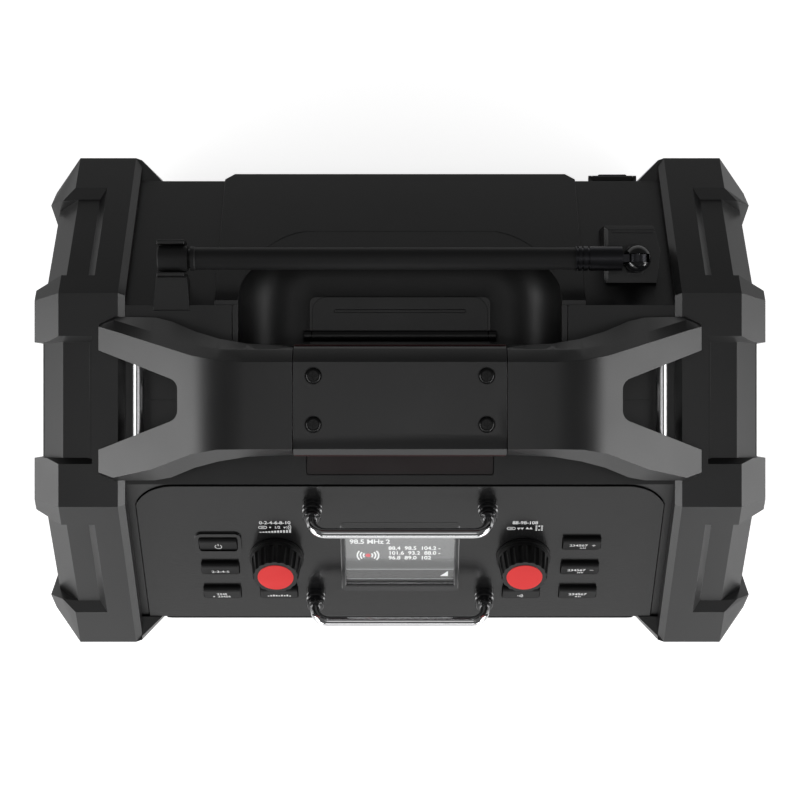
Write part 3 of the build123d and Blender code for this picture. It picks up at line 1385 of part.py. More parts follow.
with BuildPart() as inlet_cover:
    cover_bottom = cover_pivot_z - cover_height
    with BuildSketch(Plane.XZ.offset(-body_rear - fit_gap)):
        with Locations((inlet_x, (cover_bottom + cover_pivot_z) / 2)):
            Rectangle(2 * cover_half_width, cover_height)
    extrude(amount=-cover_thickness)
    outer_sides = inlet_cover.edges().filter_by(Axis.Z).group_by(Axis.Y)[-1]
    chamfer(outer_sides, length=cover_side_bevel)
    with BuildSketch(Plane.YZ.offset(inlet_x - cover_half_width)):
        with Locations((cover_pivot_y, cover_pivot_z)):
            Circle(cover_barrel_radius)
    extrude(amount=2 * cover_half_width)
    with BuildSketch(Plane.YZ.offset(inlet_x - cover_half_width - fit_gap - cover_ear_width)):
        with Locations((cover_pivot_y, cover_pivot_z)):
            Circle(cover_pin_radius)
    extrude(amount=2 * (cover_half_width + fit_gap + cover_ear_width))

write_step(power_inlet, "power_inlet")
write_step(inlet_cover, "inlet_cover")
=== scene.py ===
import json
from math import cos, pi, radians, sin

import bmesh
import bpy
from mathutils import Matrix, Vector


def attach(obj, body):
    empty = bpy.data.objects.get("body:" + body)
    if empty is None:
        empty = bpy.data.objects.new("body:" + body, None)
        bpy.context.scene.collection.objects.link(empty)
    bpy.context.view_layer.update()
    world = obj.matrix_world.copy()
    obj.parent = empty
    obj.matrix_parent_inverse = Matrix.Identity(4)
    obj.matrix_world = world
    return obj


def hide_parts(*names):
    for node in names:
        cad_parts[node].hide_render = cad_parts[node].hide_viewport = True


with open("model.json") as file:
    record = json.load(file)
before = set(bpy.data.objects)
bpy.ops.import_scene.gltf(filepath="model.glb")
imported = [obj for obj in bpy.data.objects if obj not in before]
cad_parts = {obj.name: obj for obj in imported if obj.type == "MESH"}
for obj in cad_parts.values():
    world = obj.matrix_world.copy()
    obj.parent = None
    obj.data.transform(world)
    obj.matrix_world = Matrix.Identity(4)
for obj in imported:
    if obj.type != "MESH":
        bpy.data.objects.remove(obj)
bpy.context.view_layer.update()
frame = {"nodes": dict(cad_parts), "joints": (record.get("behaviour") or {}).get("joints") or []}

# ---- Studio: a pale floor under the radio, a soft box at each side, low ones at the front and its
# corners, a soft box and a strip overhead, and a camera on a stand straight above the radio.
floor_half = 4.0
floor_glow = 0.85
floor_in_gloss = 0.30
air_glow = 1.0
air_in_gloss = 0.10
camera_height = 1.325
camera_lens = 92.7
aimed_at = (0.0, 0.0, 0.15)
soft_boxes = {  # place, width and height, watts
    "left_box": ((-1.25, -0.25, 0.65), (0.8, 0.6), 6.2),
    "right_box": ((1.25, -0.25, 0.65), (0.8, 0.6), 6.2),
    "front_left_box": ((-0.95, -0.95, 0.27), (0.8, 0.4), 7.0),
    "front_right_box": ((0.95, -0.95, 0.27), (0.8, 0.4), 7.0),
    "front_strip": ((0.0, -1.4, 0.24), (1.6, 0.45), 1.6),
    "front_key": ((0.0, -1.3, 0.85), (1.0, 0.16), 2.2),
    "top_box": ((0.0, 0.0, 1.9), (0.9, 0.9), 0.85),
    "top_strip": ((0.0, -0.1, 1.9), (1.6, 0.07), 0.6),
}
for name, (place, size, watts) in soft_boxes.items():
    lamp = bpy.data.lights.new(name, "AREA")
    lamp.shape = "RECTANGLE"
    lamp.size, lamp.size_y = size
    lamp.energy = watts
    holder = bpy.data.objects.new(name, lamp)
    holder.location = place
    holder.rotation_euler = (Vector(aimed_at) - Vector(place)).to_track_quat("-Z", "Y").to_euler()
    bpy.context.scene.collection.objects.link(holder)


def seen_by(nodes, links, *rays):
    """A socket that is 1 for rays of the named kinds and 0 for all others."""
    path = nodes.new("ShaderNodeLightPath")
    socket = path.outputs[rays[0]]
    for ray in rays[1:]:
        either = nodes.new("ShaderNodeMath")
        either.operation = "MAXIMUM"
        links.new(socket, either.inputs[0])
        links.new(path.outputs[ray], either.inputs[1])
        socket = either.outputs[0]
    return socket


def shown_light(nodes, links, direct, in_gloss):
    """A strength for a pale surround: one level seen directly or through glass, one in reflections."""
    level = nodes.new("ShaderNodeMapRange")
    level.inputs["To Min"].default_value = in_gloss
    level.inputs["To Max"].default_value = direct
    links.new(seen_by(nodes, links, "Is Camera Ray", "Is Transmission Ray"), level.inputs["Value"])
    shown = nodes.new("ShaderNodeMath")
    shown.operation = "MULTIPLY"
    links.new(level.outputs["Result"], shown.inputs[0])
    links.new(seen_by(nodes, links, "Is Camera Ray", "Is Glossy Ray", "Is Transmission Ray"),
              shown.inputs[1])
    return shown.outputs[0]


world = bpy.data.worlds.new("studio_air")
world.use_nodes = True
air_nodes, air_links = world.node_tree.nodes, world.node_tree.links
air_links.new(shown_light(air_nodes, air_links, air_glow, air_in_gloss),
              air_nodes["Background"].inputs["Strength"])
air_nodes["Background"].inputs["Color"].default_value = (1.0, 1.0, 1.0, 1.0)
bpy.context.scene.world = world

floor_shape = bmesh.new()
bmesh.ops.create_grid(floor_shape, x_segments=1, y_segments=1, size=floor_half)
floor_mesh = bpy.data.meshes.new("floor")
floor_shape.to_mesh(floor_mesh)
floor_shape.free()
floor = bpy.data.objects.new("floor", floor_mesh)
bpy.context.scene.collection.objects.link(floor)
paper = bpy.data.materials.new("paper")
paper.use_nodes = True
paper_nodes, paper_links = paper.node_tree.nodes, paper.node_tree.links
paper_shader = paper_nodes["Principled BSDF"]
paper_shader.inputs["Base Color"].default_value = (0.86, 0.86, 0.86, 1.0)
paper_shader.inputs["Roughness"].default_value = 0.9
paper_shader.inputs["Emission Color"].default_value = (1.0, 1.0, 1.0, 1.0)
paper_links.new(shown_light(paper_nodes, paper_links, floor_glow, floor_in_gloss),
                paper_shader.inputs["Emission Strength"])
floor_mesh.materials.append(paper)

camera = bpy.data.objects.new("camera", bpy.data.cameras.new("camera"))
camera.data.lens = camera_lens
camera.data.sensor_width = 36.0
camera.data.clip_end = 20.0
camera.location = (0.0, 0.0, camera_height)
bpy.context.scene.collection.objects.link(camera)
bpy.context.scene.camera = camera
bpy.context.scene.view_settings.view_transform = "Standard"


# ---- Housings: two halves moulded in black ABS with a fine spark texture. They meet under the
# handle, and four screws in deep bosses pull the rear half on from behind.
def moulded(name, colour, roughness, grain=900.0, depth=0.00004, mottle=0.08, specular=0.7):
    """Moulded plastic or rubber: spark texture, uneven gloss and a faint mottling."""
    material = bpy.data.materials.new(name)
    material.use_nodes = True
    nodes, links = material.node_tree.nodes, material.node_tree.links
    shader = nodes["Principled BSDF"]
    shader.inputs["Specular IOR Level"].default_value = specular
    place = nodes.new("ShaderNodeTexCoord")
    cloud = nodes.new("ShaderNodeTexNoise")
    cloud.inputs["Scale"].default_value = 23.0
    cloud.inputs["Detail"].default_value = 4.0
    tint = nodes.new("ShaderNodeValToRGB")
    for stop, share in zip(tint.color_ramp.elements, (1.0 - mottle, 1.0 + mottle)):
        stop.color = (*(share * c for c in colour), 1.0)
    tint.color_ramp.elements[0].position = 0.3
    tint.color_ramp.elements[1].position = 0.7
    gloss = nodes.new("ShaderNodeMapRange")
    gloss.inputs["To Min"].default_value = roughness - 0.06
    gloss.inputs["To Max"].default_value = roughness + 0.06
    spark = nodes.new("ShaderNodeTexNoise")
    spark.inputs["Scale"].default_value = grain
    spark.inputs["Detail"].default_value = 2.0
    relief = nodes.new("ShaderNodeBump")
    relief.inputs["Distance"].default_value = depth
    relief.inputs["Strength"].default_value = 0.6
    for pattern in (cloud, spark):
        links.new(place.outputs["Object"], pattern.inputs["Vector"])
    links.new(cloud.outputs["Fac"], tint.inputs["Fac"])
    links.new(cloud.outputs["Fac"], gloss.inputs["Value"])
    links.new(tint.outputs["Color"], shader.inputs["Base Color"])
    links.new(gloss.outputs["Result"], shader.inputs["Roughness"])
    links.new(spark.outputs["Fac"], relief.inputs["Height"])
    links.new(relief.outputs["Normal"], shader.inputs["Normal"])
    return material


def finish_node(node, material):
    """Give a CAD node its real surface."""
    mesh = frame["nodes"][node].data
    mesh.materials.clear()
    mesh.materials.append(material)


def as_piece(shape, name, material, body, stands_for=()):
    """Turn a bmesh into a piece that rides on a body and may stand for CAD nodes."""
    mesh = bpy.data.meshes.new(name)
    shape.to_mesh(mesh)
    shape.free()
    mesh.materials.append(material)
    piece = bpy.data.objects.new(name, mesh)
    bpy.context.scene.collection.objects.link(piece)
    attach(piece, body)
    if stands_for:
        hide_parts(*stands_for)
    return piece


def skin_of(node):
    """A CAD node's surface as one merged skin, with its flat faces in one piece each."""
    shape = bmesh.new()
    shape.from_mesh(frame["nodes"][node].data)
    bmesh.ops.remove_doubles(shape, verts=shape.verts, dist=0.00001)
    bmesh.ops.dissolve_limit(shape, angle_limit=radians(0.6), verts=shape.verts, edges=shape.edges)
    return shape


def shade(shape, sharp_from=50.0):
    """Shade a shape smooth, apart from edges that turn by more than an angle, in degrees."""
    for face in shape.faces:
        face.smooth = True
    for edge in shape.edges:
        edge.smooth = len(edge.link_faces) == 2 and edge.calc_face_angle() < radians(sharp_from)


def round_edges(shape, width, segments=3, sharper_than=32.0):
    """Round the edges of a shape that turn by more than an angle, in degrees."""
    picked = [edge for edge in shape.edges
              if len(edge.link_faces) == 2 and edge.calc_face_angle() > radians(sharper_than)]
    bmesh.ops.bevel(shape, geom=picked, offset=width, affect="EDGES", segments=segments,
                    profile=0.5, material=-1, clamp_overlap=True)
    shade(shape)


def even_shading(piece):
    """Let broad faces keep their own normals, so that only the rounded edges shade round."""
    shading = piece.modifiers.new("even_shading", "WEIGHTED_NORMAL")
    shading.keep_sharp = True
    shading.weight = 90


def softened(node, material, body, width):
    """A piece with a CAD node's form and rounded edges, which stands for that node."""
    shape = skin_of(node)
    round_edges(shape, width)
    even_shading(as_piece(shape, "soft_" + node, material, body, (node,)))


def smoothed(node, material, body):
    """A piece with a turned CAD node's form, shaded round, which stands for that node."""
    shape = skin_of(node)
    shade(shape, 35.0)
    as_piece(shape, "smooth_" + node, material, body, (node,))


housing_plastic = moulded("housing_plastic", (0.0080, 0.0080, 0.0083), 0.36)
softened("front_housing", housing_plastic, "radio_body", 0.0008)
softened("rear_housing", housing_plastic, "radio_body", 0.0008)


# ---- Housing screws: four M4 socket screws in blackened steel. They are sunk in round wells in
# the rear face and pull the two housings together.
def metal(name, colour, roughness, uneven=0.05, grain=400.0):
    """Bare, plated or blackened metal with uneven polish."""
    material = bpy.data.materials.new(name)
    material.use_nodes = True
    nodes, links = material.node_tree.nodes, material.node_tree.links
    shader = nodes["Principled BSDF"]
    shader.inputs["Metallic"].default_value = 1.0
    place = nodes.new("ShaderNodeTexCoord")
    smear = nodes.new("ShaderNodeTexNoise")
    smear.inputs["Scale"].default_value = grain
    smear.inputs["Detail"].default_value = 3.0
    links.new(place.outputs["Object"], smear.inputs["Vector"])
    polish = nodes.new("ShaderNodeMapRange")
    polish.inputs["To Min"].default_value = max(roughness - uneven, 0.0)
    polish.inputs["To Max"].default_value = roughness + uneven
    links.new(smear.outputs["Fac"], polish.inputs["Value"])
    links.new(polish.outputs["Result"], shader.inputs["Roughness"])
    tint = nodes.new("ShaderNodeValToRGB")
    for stop, share in zip(tint.color_ramp.elements, (0.9, 1.0)):
        stop.color = (*(share * c for c in colour), 1.0)
    links.new(smear.outputs["Fac"], tint.inputs["Fac"])
    links.new(tint.outputs["Color"], shader.inputs["Base Color"])
    return material


black_oxide = metal("black_oxide", (0.05, 0.05, 0.055), 0.38)
smoothed("housing_screws", black_oxide, "radio_body")

# ---- Speakers: two 4-inch drivers on pressed steel frames, with a ferrite magnet behind and a
# polypropylene cone in front, screwed to the inside of the front face.
basket_steel = metal("basket_steel", (0.10, 0.10, 0.105), 0.45)
ferrite = moulded("ferrite", (0.035, 0.035, 0.038), 0.70, grain=500.0, depth=0.00010)
cone_skin = moulded("cone_skin", (0.028, 0.028, 0.030), 0.38, grain=260.0, depth=0.00008)
smoothed("speaker_frames", basket_steel, "radio_body")
finish_node("speaker_magnets", ferrite)
smoothed("speaker_cones", cone_skin, "radio_body")

# ---- Speaker grille: one sheet of steel punched with six-sided holes, powder-coated black, and
# clipped to the front face so that its top edge just shows below the panel.
powder_coat = moulded("powder_coat", (0.018, 0.018, 0.019), 0.55, grain=1400.0, depth=0.00006)
finish_node("speaker_grille", powder_coat)


# ---- Main board: a glass-fibre board with green solder mask, on four posts in the rear housing.
# The button board behind the panel is made the same way.
def circuit(name, mask, track):
    """A printed circuit board: solder mask over square-cornered tracks and tinned pads."""
    material = bpy.data.materials.new(name)
    material.use_nodes = True
    nodes, links = material.node_tree.nodes, material.node_tree.links
    shader = nodes["Principled BSDF"]
    shader.inputs["Roughness"].default_value = 0.35
    place = nodes.new("ShaderNodeTexCoord")
    tracks = nodes.new("ShaderNodeTexBrick")
    tracks.inputs["Scale"].default_value = 130.0
    tracks.inputs["Mortar Size"].default_value = 0.03
    tracks.inputs["Color1"].default_value = (*mask, 1.0)
    tracks.inputs["Color2"].default_value = (*(0.8 * c for c in mask), 1.0)
    tracks.inputs["Mortar"].default_value = (*track, 1.0)
    pads = nodes.new("ShaderNodeTexVoronoi")
    pads.inputs["Scale"].default_value = 220.0
    ringed = nodes.new("ShaderNodeMath")
    ringed.operation = "LESS_THAN"
    ringed.inputs[1].default_value = 0.16
    tinned = nodes.new("ShaderNodeMix")
    tinned.data_type = "RGBA"
    tinned.inputs["B"].default_value = (0.6, 0.6, 0.58, 1.0)
    for pattern in (tracks, pads):
        links.new(place.outputs["Object"], pattern.inputs["Vector"])
    links.new(pads.outputs["Distance"], ringed.inputs[0])
    links.new(ringed.outputs[0], tinned.inputs["Factor"])
    links.new(tracks.outputs["Color"], tinned.inputs["A"])
    links.new(tinned.outputs["Result"], shader.inputs["Base Color"])
    links.new(ringed.outputs[0], shader.inputs["Metallic"])
    return material


green_board = circuit("green_board", (0.010, 0.090, 0.035), (0.020, 0.160, 0.060))
finish_node("main_board", green_board)
finish_node("button_board", green_board)

# ---- Battery bay: a moulded tray with six D cells side by side, closed from behind by a door on
# a steel pin.
cell_wrap = moulded("cell_wrap", (0.020, 0.045, 0.110), 0.28, grain=60.0, depth=0.00002)
steel_pin = metal("steel_pin", (0.62, 0.62, 0.64), 0.22)
finish_node("battery_tray", housing_plastic)
smoothed("battery_cells", cell_wrap, "radio_body")
softened("battery_door", housing_plastic, "battery_door", 0.0005)
smoothed("battery_door_pin", steel_pin, "radio_body")

# ---- Power inlet: a barrel socket let into the rear face. A small rubber cover closes it and
# swings up on two ears.
softened("power_inlet", housing_plastic, "radio_body", 0.0002)
cover_rubber = moulded("cover_rubber", (0.017, 0.017, 0.018), 0.60)
softened("inlet_cover", cover_rubber, "inlet_cover", 0.0004)

# ---- Bumpers: a rubber ring at each end of the radio with raised corner blocks, and a ribbed
# side panel that closes its middle.
bumper_rubber = moulded("bumper_rubber", (0.0112, 0.0112, 0.0115), 0.34)
side_plastic = moulded("side_plastic", (0.0080, 0.0080, 0.0083), 0.36)
flare_from = 0.1808  # the corners are cut back outside this distance from the middle
flare_run = 0.0142
corner_from = 0.1074
corner_run = 0.0205
corner_cut = 0.0105
rail_inner = 0.163
recess_slant = 0.0042
near_rail, near_corner = 0.0002, 0.0004  # how near a vertex lies to the place that it is known by
recess_corners = {  # place in a side view (from the middle, height) and how far it moves
    (0.0711, 0.2214): (-0.0045, 0.0042), (0.0680, 0.2181): (-0.0045, 0.0042),
    (0.0649, 0.2148): (-0.0063, 0.0059), (0.0618, 0.2115): (-0.0063, 0.0059),
    (0.1105, 0.1780): (0.0012, -0.0011), (0.1074, 0.1748): (0.0012, -0.0011),
    (0.1043, 0.1715): (0.0012, -0.0011), (0.0889, 0.1551): (0.0090, -0.0085),
    (0.1339, 0.1580): (0.0018, 0.0008),
}
slanted_walls = ((0.0680, 0.2181), (0.1105, 0.1780), (0.1324, 0.0538), (0.1324, 0.1355))
for side in ("left", "right"):
    ring = skin_of(f"bumper_{side}")
    for vertex in ring.verts:
        outward, along, height = abs(vertex.co.x), abs(vertex.co.y), vertex.co.z
        if abs(outward - rail_inner) < near_rail and any(
                abs(along - foot) + abs(height - level) < near_corner for foot, level in slanted_walls):
            vertex.co.x *= (outward + recess_slant) / outward
        for (spot, level), (shift, rise) in recess_corners.items():
            if abs(along - spot) + abs(height - level) < near_corner:
                vertex.co.y *= (along + shift) / along
                vertex.co.z += rise
        if outward > flare_from + 0.0001 and along > corner_from + 0.002:
            cut = corner_cut * (outward - flare_from) / flare_run * (along - corner_from) / corner_run
            vertex.co.y *= (along - cut) / along
    round_edges(ring, 0.0014)
    even_shading(as_piece(ring, f"soft_bumper_{side}", bumper_rubber, "radio_body",
                          (f"bumper_{side}",)))
    softened(f"side_panel_{side}", side_plastic, "radio_body", 0.001)

# ---- Control panel: a satin black plate let into the front slope, with a raised frame round the
# power button.
panel_plastic = moulded("panel_plastic", (0.0105, 0.0105, 0.0107), 0.21, mottle=0.04, specular=0.62)
softened("control_panel", panel_plastic, "radio_body", 0.0004)

# ---- Buttons: eight rubber-coated caps, each in its own opening, tall at the rear edge and
# falling to the panel at the front. A flange under the panel keeps them in.
knob_joint = {joint["name"]: joint for joint in frame["joints"]}["volume_turn"]
panel_out = Vector(knob_joint["axis"])
panel_up = Vector((0.0, panel_out.z, -panel_out.y))
knob_axis = Vector(knob_joint["pos_m"])
on_panel = Matrix((  # millimetres across, up the slope and out of the panel, from the knobs' axis
    (0.001, 0.0, 0.0, 0.0),
    (0.0, 0.001 * panel_up.y, 0.001 * panel_out.y, knob_axis.y),
    (0.0, 0.001 * panel_up.z, 0.001 * panel_out.z, knob_axis.z),
    (0.0, 0.0, 0.0, 1.0)))
button_columns = (-99.1, 99.1)
inner_columns = (-67.5, 67.5)
button_rows = (11.2, -8.8, -28.8)
cap_width, cap_length = 20.5, 10.5
cap_rear, cap_front = 3.5, 0.4
cap_floor = -2.6
flange_reach = 1.0
flange_thickness = 1.2
rear_edge_radius, flank_radius, flange_corner_radius = 3.0, 1.1, 2.0
button_rubber = moulded("button_rubber", (0.0075, 0.0075, 0.0078), 0.50, mottle=0.04, specular=0.22)
button_spots = {
    "power_button": (button_columns[0], button_rows[0]),
    "source_button": (button_columns[0], button_rows[1]),
    "menu_button": (button_columns[0], button_rows[2]),
    "equaliser_button": (inner_columns[0], button_rows[2]),
    "preset_up_button": (button_columns[1], button_rows[0]),
    "preset_down_button": (button_columns[1], button_rows[1]),
    "preset_button": (button_columns[1], button_rows[2]),
    "wireless_button": (inner_columns[1], button_rows[2]),
}


def block(shape, wide, long, low, high):
    """Add a block to a shape and return its corners."""
    corners = bmesh.ops.create_cube(shape, size=1.0)["verts"]
    bmesh.ops.scale(shape, vec=(wide, long, high - low), verts=corners)
    bmesh.ops.translate(shape, vec=(0.0, 0.0, (low + high) / 2), verts=corners)
    return corners


def bevelled(shape, edges, width, segments):
    """Round some edges of a shape."""
    bmesh.ops.bevel(shape, geom=edges, offset=width, affect="EDGES", segments=segments,
                    profile=0.5, material=-1, clamp_overlap=True)


for name, (across, up) in button_spots.items():
    cap = bmesh.new()
    corners = block(cap, cap_width, cap_length, cap_floor, cap_rear)
    for corner in corners:
        if corner.co.z > 0.0 and corner.co.y < 0.0:
            corner.co.z = cap_front
    rear_edges = [edge for edge in cap.edges if all(v.co.z > cap_front + 1.0 for v in edge.verts)]
    bevelled(cap, rear_edges, rear_edge_radius, 8)
    flanks = [edge for edge in cap.edges
              if all(abs(abs(v.co.x) - cap_width / 2) < 0.001 for v in edge.verts)
              and max(v.co.z for v in edge.verts) > cap_floor + 0.1]
    bevelled(cap, flanks, flank_radius, 4)
    flange_corners = block(cap, cap_width + 2 * flange_reach, cap_length + 2 * flange_reach,
                           cap_floor - flange_thickness, cap_floor)
    flange_uprights = [edge for edge in cap.edges
                       if edge.verts[0] in flange_corners and edge.verts[1] in flange_corners
                       and abs(edge.verts[0].co.z - edge.verts[1].co.z) > 1.0]
    bevelled(cap, flange_uprights, flange_corner_radius, 4)
    shade(cap)
    bmesh.ops.transform(cap, matrix=on_panel @ Matrix.Translation((across, up, 0.0)), verts=cap.verts)
    even_shading(as_piece(cap, name + "_cap", button_rubber, name, (name,)))

# ---- Prints: white ink on the caps and above the knobs, pad-printed and slightly raised.
# They are plain signs and dial numbers.
ink_height = 0.05
ink = moulded("ink", (0.80, 0.80, 0.80), 0.45, grain=3000.0, depth=0.000005, mottle=0.05)


def bar_mark(shape, x, y, wide, tall, turn=0.0):
    """A straight bar of ink."""
    matrix = (Matrix.Translation((x, y, 0.0)) @ Matrix.Rotation(radians(turn), 4, "Z")
              @ Matrix.Diagonal((wide, tall, 1.0, 1.0)))
    bmesh.ops.create_grid(shape, x_segments=1, y_segments=1, size=0.5, matrix=matrix)


def dot_mark(shape, x, y, radius, sides=20, turn=0.0):
    """A filled dot, or a triangle where it has three sides."""
    matrix = Matrix.Translation((x, y, 0.0)) @ Matrix.Rotation(radians(turn), 4, "Z")
    bmesh.ops.create_circle(shape, cap_ends=True, segments=sides, radius=radius, matrix=matrix)


def arc_mark(shape, x, y, radius, line, start, sweep):
    """A curved line of ink, from a start angle through a sweep, in degrees."""
    ends = [Vector((reach * cos(radians(start)), reach * sin(radians(start)), 0.0)) + Vector((x, y, 0.0))
            for reach in (radius - line / 2, radius + line / 2)]
    edge = shape.edges.new([shape.verts.new(end) for end in ends])
    bmesh.ops.spin(shape, geom=[edge, *edge.verts], cent=(x, y, 0.0), axis=(0.0, 0.0, 1.0),
                   angle=radians(sweep), steps=max(4, round(abs(sweep) / 12)),
                   use_merge=abs(sweep) > 359.0)


def corner_mark(shape, *corners):
    """A filled shape with straight sides, given by its corners."""
    shape.faces.new([shape.verts.new((x, y, 0.0)) for x, y in corners])


def figure_mark(shape, figures, x, y, tall, align="CENTER"):
    """Figures of a given height, centred on a point or set from it."""
    cap_share = 0.72  # a figure's height as a share of the font's size
    writing = bpy.data.curves.new("figures", "FONT")
    writing.body = figures
    writing.size = tall / cap_share
    writing.offset = 0.035 * tall
    writing.align_x = align
    writing.align_y = "CENTER"
    holder = bpy.data.objects.new("figures", writing)
    flat = bpy.data.meshes.new_from_object(holder)
    flat.transform(Matrix.Translation((x, y, 0.0)))
    shape.from_mesh(flat)
    bpy.data.objects.remove(holder)
    bpy.data.curves.remove(writing)
    bpy.data.meshes.remove(flat)


def printed(shape, name, place, body, material=ink, height=ink_height):
    """Raise flat marks to the ink's thickness and put them in place."""
    bmesh.ops.recalc_face_normals(shape, faces=shape.faces)
    turned = [face for face in shape.faces if face.normal.z < 0.0]
    bmesh.ops.reverse_faces(shape, faces=turned)
    raised = bmesh.ops.extrude_face_region(shape, geom=shape.faces[:])["geom"]
    bmesh.ops.translate(shape, vec=(0.0, 0.0, height),
                        verts=[part for part in raised if isinstance(part, bmesh.types.BMVert)])
    bmesh.ops.transform(shape, matrix=place, verts=shape.verts)
    bmesh.ops.recalc_face_normals(shape, faces=shape.faces)
    return as_piece(shape, name, material, body)


cap_tilt = Matrix(((1.0, 0.0, 0.0, 0.0),  # from a flat drawing to the cap's sloping top
                   (0.0, 1.0, 0.0, 0.0),
                   (0.0, (cap_rear - cap_front) / cap_length, 1.0, (cap_rear + cap_front) / 2),
                   (0.0, 0.0, 0.0, 1.0)))


def cap_print(shape, button):
    """Marks on a button's cap, which move with it."""
    across, up = button_spots[button]
    place = on_panel @ Matrix.Translation((across, up, 0.0)) @ cap_tilt
    printed(shape, button + "_print", place, button)


line = 0.42
marks = bmesh.new()
arc_mark(marks, 0.0, -1.3, 1.8, line, 125.0, 290.0)
bmesh.ops.scale(marks, vec=(1.0, 1.25, 1.0), verts=marks.verts)
bar_mark(marks, 0.0, 0.5, line, 2.2)
cap_print(marks, "power_button")

marks = bmesh.new()
figure_mark(marks, "2-3-4-5", 0.0, -2.2, 2.4)
cap_print(marks, "source_button")

marks = bmesh.new()
figure_mark(marks, "2345", -0.2, -0.1, 2.1)
figure_mark(marks, "23456", 0.8, -3.2, 2.1)
dot_mark(marks, -4.9, -3.2, 0.6)
cap_print(marks, "menu_button")

marks = bmesh.new()
for step, tall in enumerate((1.0, 1.6, 2.1, 1.7, 1.2, 1.9, 1.4, 2.1, 1.0)):
    bar_mark(marks, (step - 4) * 1.5, -2.9 + tall / 2, 0.95, tall)
cap_print(marks, "equaliser_button")


def skip_marks(shape, x, y, direction):
    """Two small triangles and a bar, pointing right (1) or left (-1)."""
    for step in (-0.9, 0.5):
        dot_mark(shape, x + direction * step, y, 0.85, sides=3, turn=0.0 if direction > 0 else 180.0)
    bar_mark(shape, x + direction * 1.5, y, line, 1.4)


for button, sign_bars, direction in (("preset_up_button", 2, 1), ("preset_down_button", 1, -1)):
    marks = bmesh.new()
    figure_mark(marks, "234567", -1.8, -0.3, 2.4)
    for turn in (0.0, 90.0)[:sign_bars]:
        bar_mark(marks, 6.6, -0.3, 2.1, line, turn)
    skip_marks(marks, 0.6, -3.2, direction)
    cap_print(marks, button)

marks = bmesh.new()
figure_mark(marks, "234567", 0.0, -0.3, 2.4)
dot_mark(marks, -0.6, -3.2, 0.85, sides=3)
for x in (0.8, 1.7):
    bar_mark(marks, x, -3.2, line, 1.4)
cap_print(marks, "preset_button")

marks = bmesh.new()
dot_mark(marks, -1.6, -2.2, 0.4)
for radius in (1.1, 1.9, 2.7):
    arc_mark(marks, -1.6, -2.2, radius, line, -42.0, 84.0)
cap_print(marks, "wireless_button")

knob_across = abs(knob_axis.x) * 1000


def key_mark(shape, x, y):
    """A rounded key cap, 4.4 mm wide, drawn in outline."""
    for side, start in ((-1.3, 90.0), (1.3, -90.0)):
        arc_mark(shape, x + side, y, 0.9, line, start, 180.0)
    for rise in (-0.9, 0.9):
        bar_mark(shape, x, y + rise, 2.6, line)
    bar_mark(shape, x, y, 2.0, line)


dial = bmesh.new()
figure_mark(dial, "0-2-4-6-8-10", -knob_across, 27.0, 2.4)
key_mark(dial, -knob_across - 6.7, 23.4)
dot_mark(dial, -knob_across - 2.6, 23.4, 0.55)
figure_mark(dial, "1/2", -knob_across + 1.2, 23.4, 1.9)
dot_mark(dial, -knob_across + 5.2, 23.4, 0.9, sides=3, turn=180.0)
for radius in (1.4, 2.4, 3.4):
    arc_mark(dial, -knob_across + 5.2, 23.4, radius, line, -36.0, 72.0)
for step in range(11):
    tall = 0.7 + 0.17 * step
    bar_mark(dial, -knob_across + (step - 5) * 1.6, 19.2 + tall / 2, 1.1, tall)
printed(dial, "volume_print", on_panel, "radio_body")

dial = bmesh.new()
figure_mark(dial, "88-98-108", knob_across, 27.0, 2.4)
key_mark(dial, knob_across - 7.4, 22.6)
for x, turn in ((-3.4, 180.0), (-1.5, 180.0), (1.3, 0.0), (3.2, 0.0)):
    dot_mark(dial, knob_across + x, 22.6, 1.15, sides=3, turn=turn)
for across in range(3):
    for along in range(3):
        if (across, along) != (1, 1):
            bar_mark(dial, knob_across + 6.2 + 1.5 * across, 21.4 + 1.5 * along, 1.0, 1.0)
printed(dial, "tuning_print", on_panel, "radio_body")

# ---- Screen: a bevelled glossy frame on the panel, a clear lens let into its cut-out, and the
# display module behind, with its picture: a header, a broadcast sign, three lines and a footer.
bezel_gloss = moulded("bezel_gloss", (0.018, 0.018, 0.019), 0.22, depth=0.0, specular=0.8)
flush_from, flush_out = 20.0, 0.1  # above this, up the slope, the frame lies flush with the panel
bezel = skin_of("display_bezel")
off_panel = on_panel.inverted()
for vertex in bezel.verts:
    spot = off_panel @ vertex.co
    if spot.y > flush_from and spot.z > flush_out:
        vertex.co = on_panel @ Vector((spot.x, spot.y, flush_out))
round_edges(bezel, 0.0002, 2)
bezel = as_piece(bezel, "soft_display_bezel", bezel_gloss, "radio_body",
                 ("display_bezel",))
bezel.data.materials.append(panel_plastic)
for face in bezel.data.polygons:
    spot = off_panel @ face.center
    if spot.y > flush_from and spot.z > 0.0:
        face.material_index = 1
even_shading(bezel)
module_metal = metal("module_metal", (0.30, 0.30, 0.31), 0.40)
finish_node("display_module", module_metal)

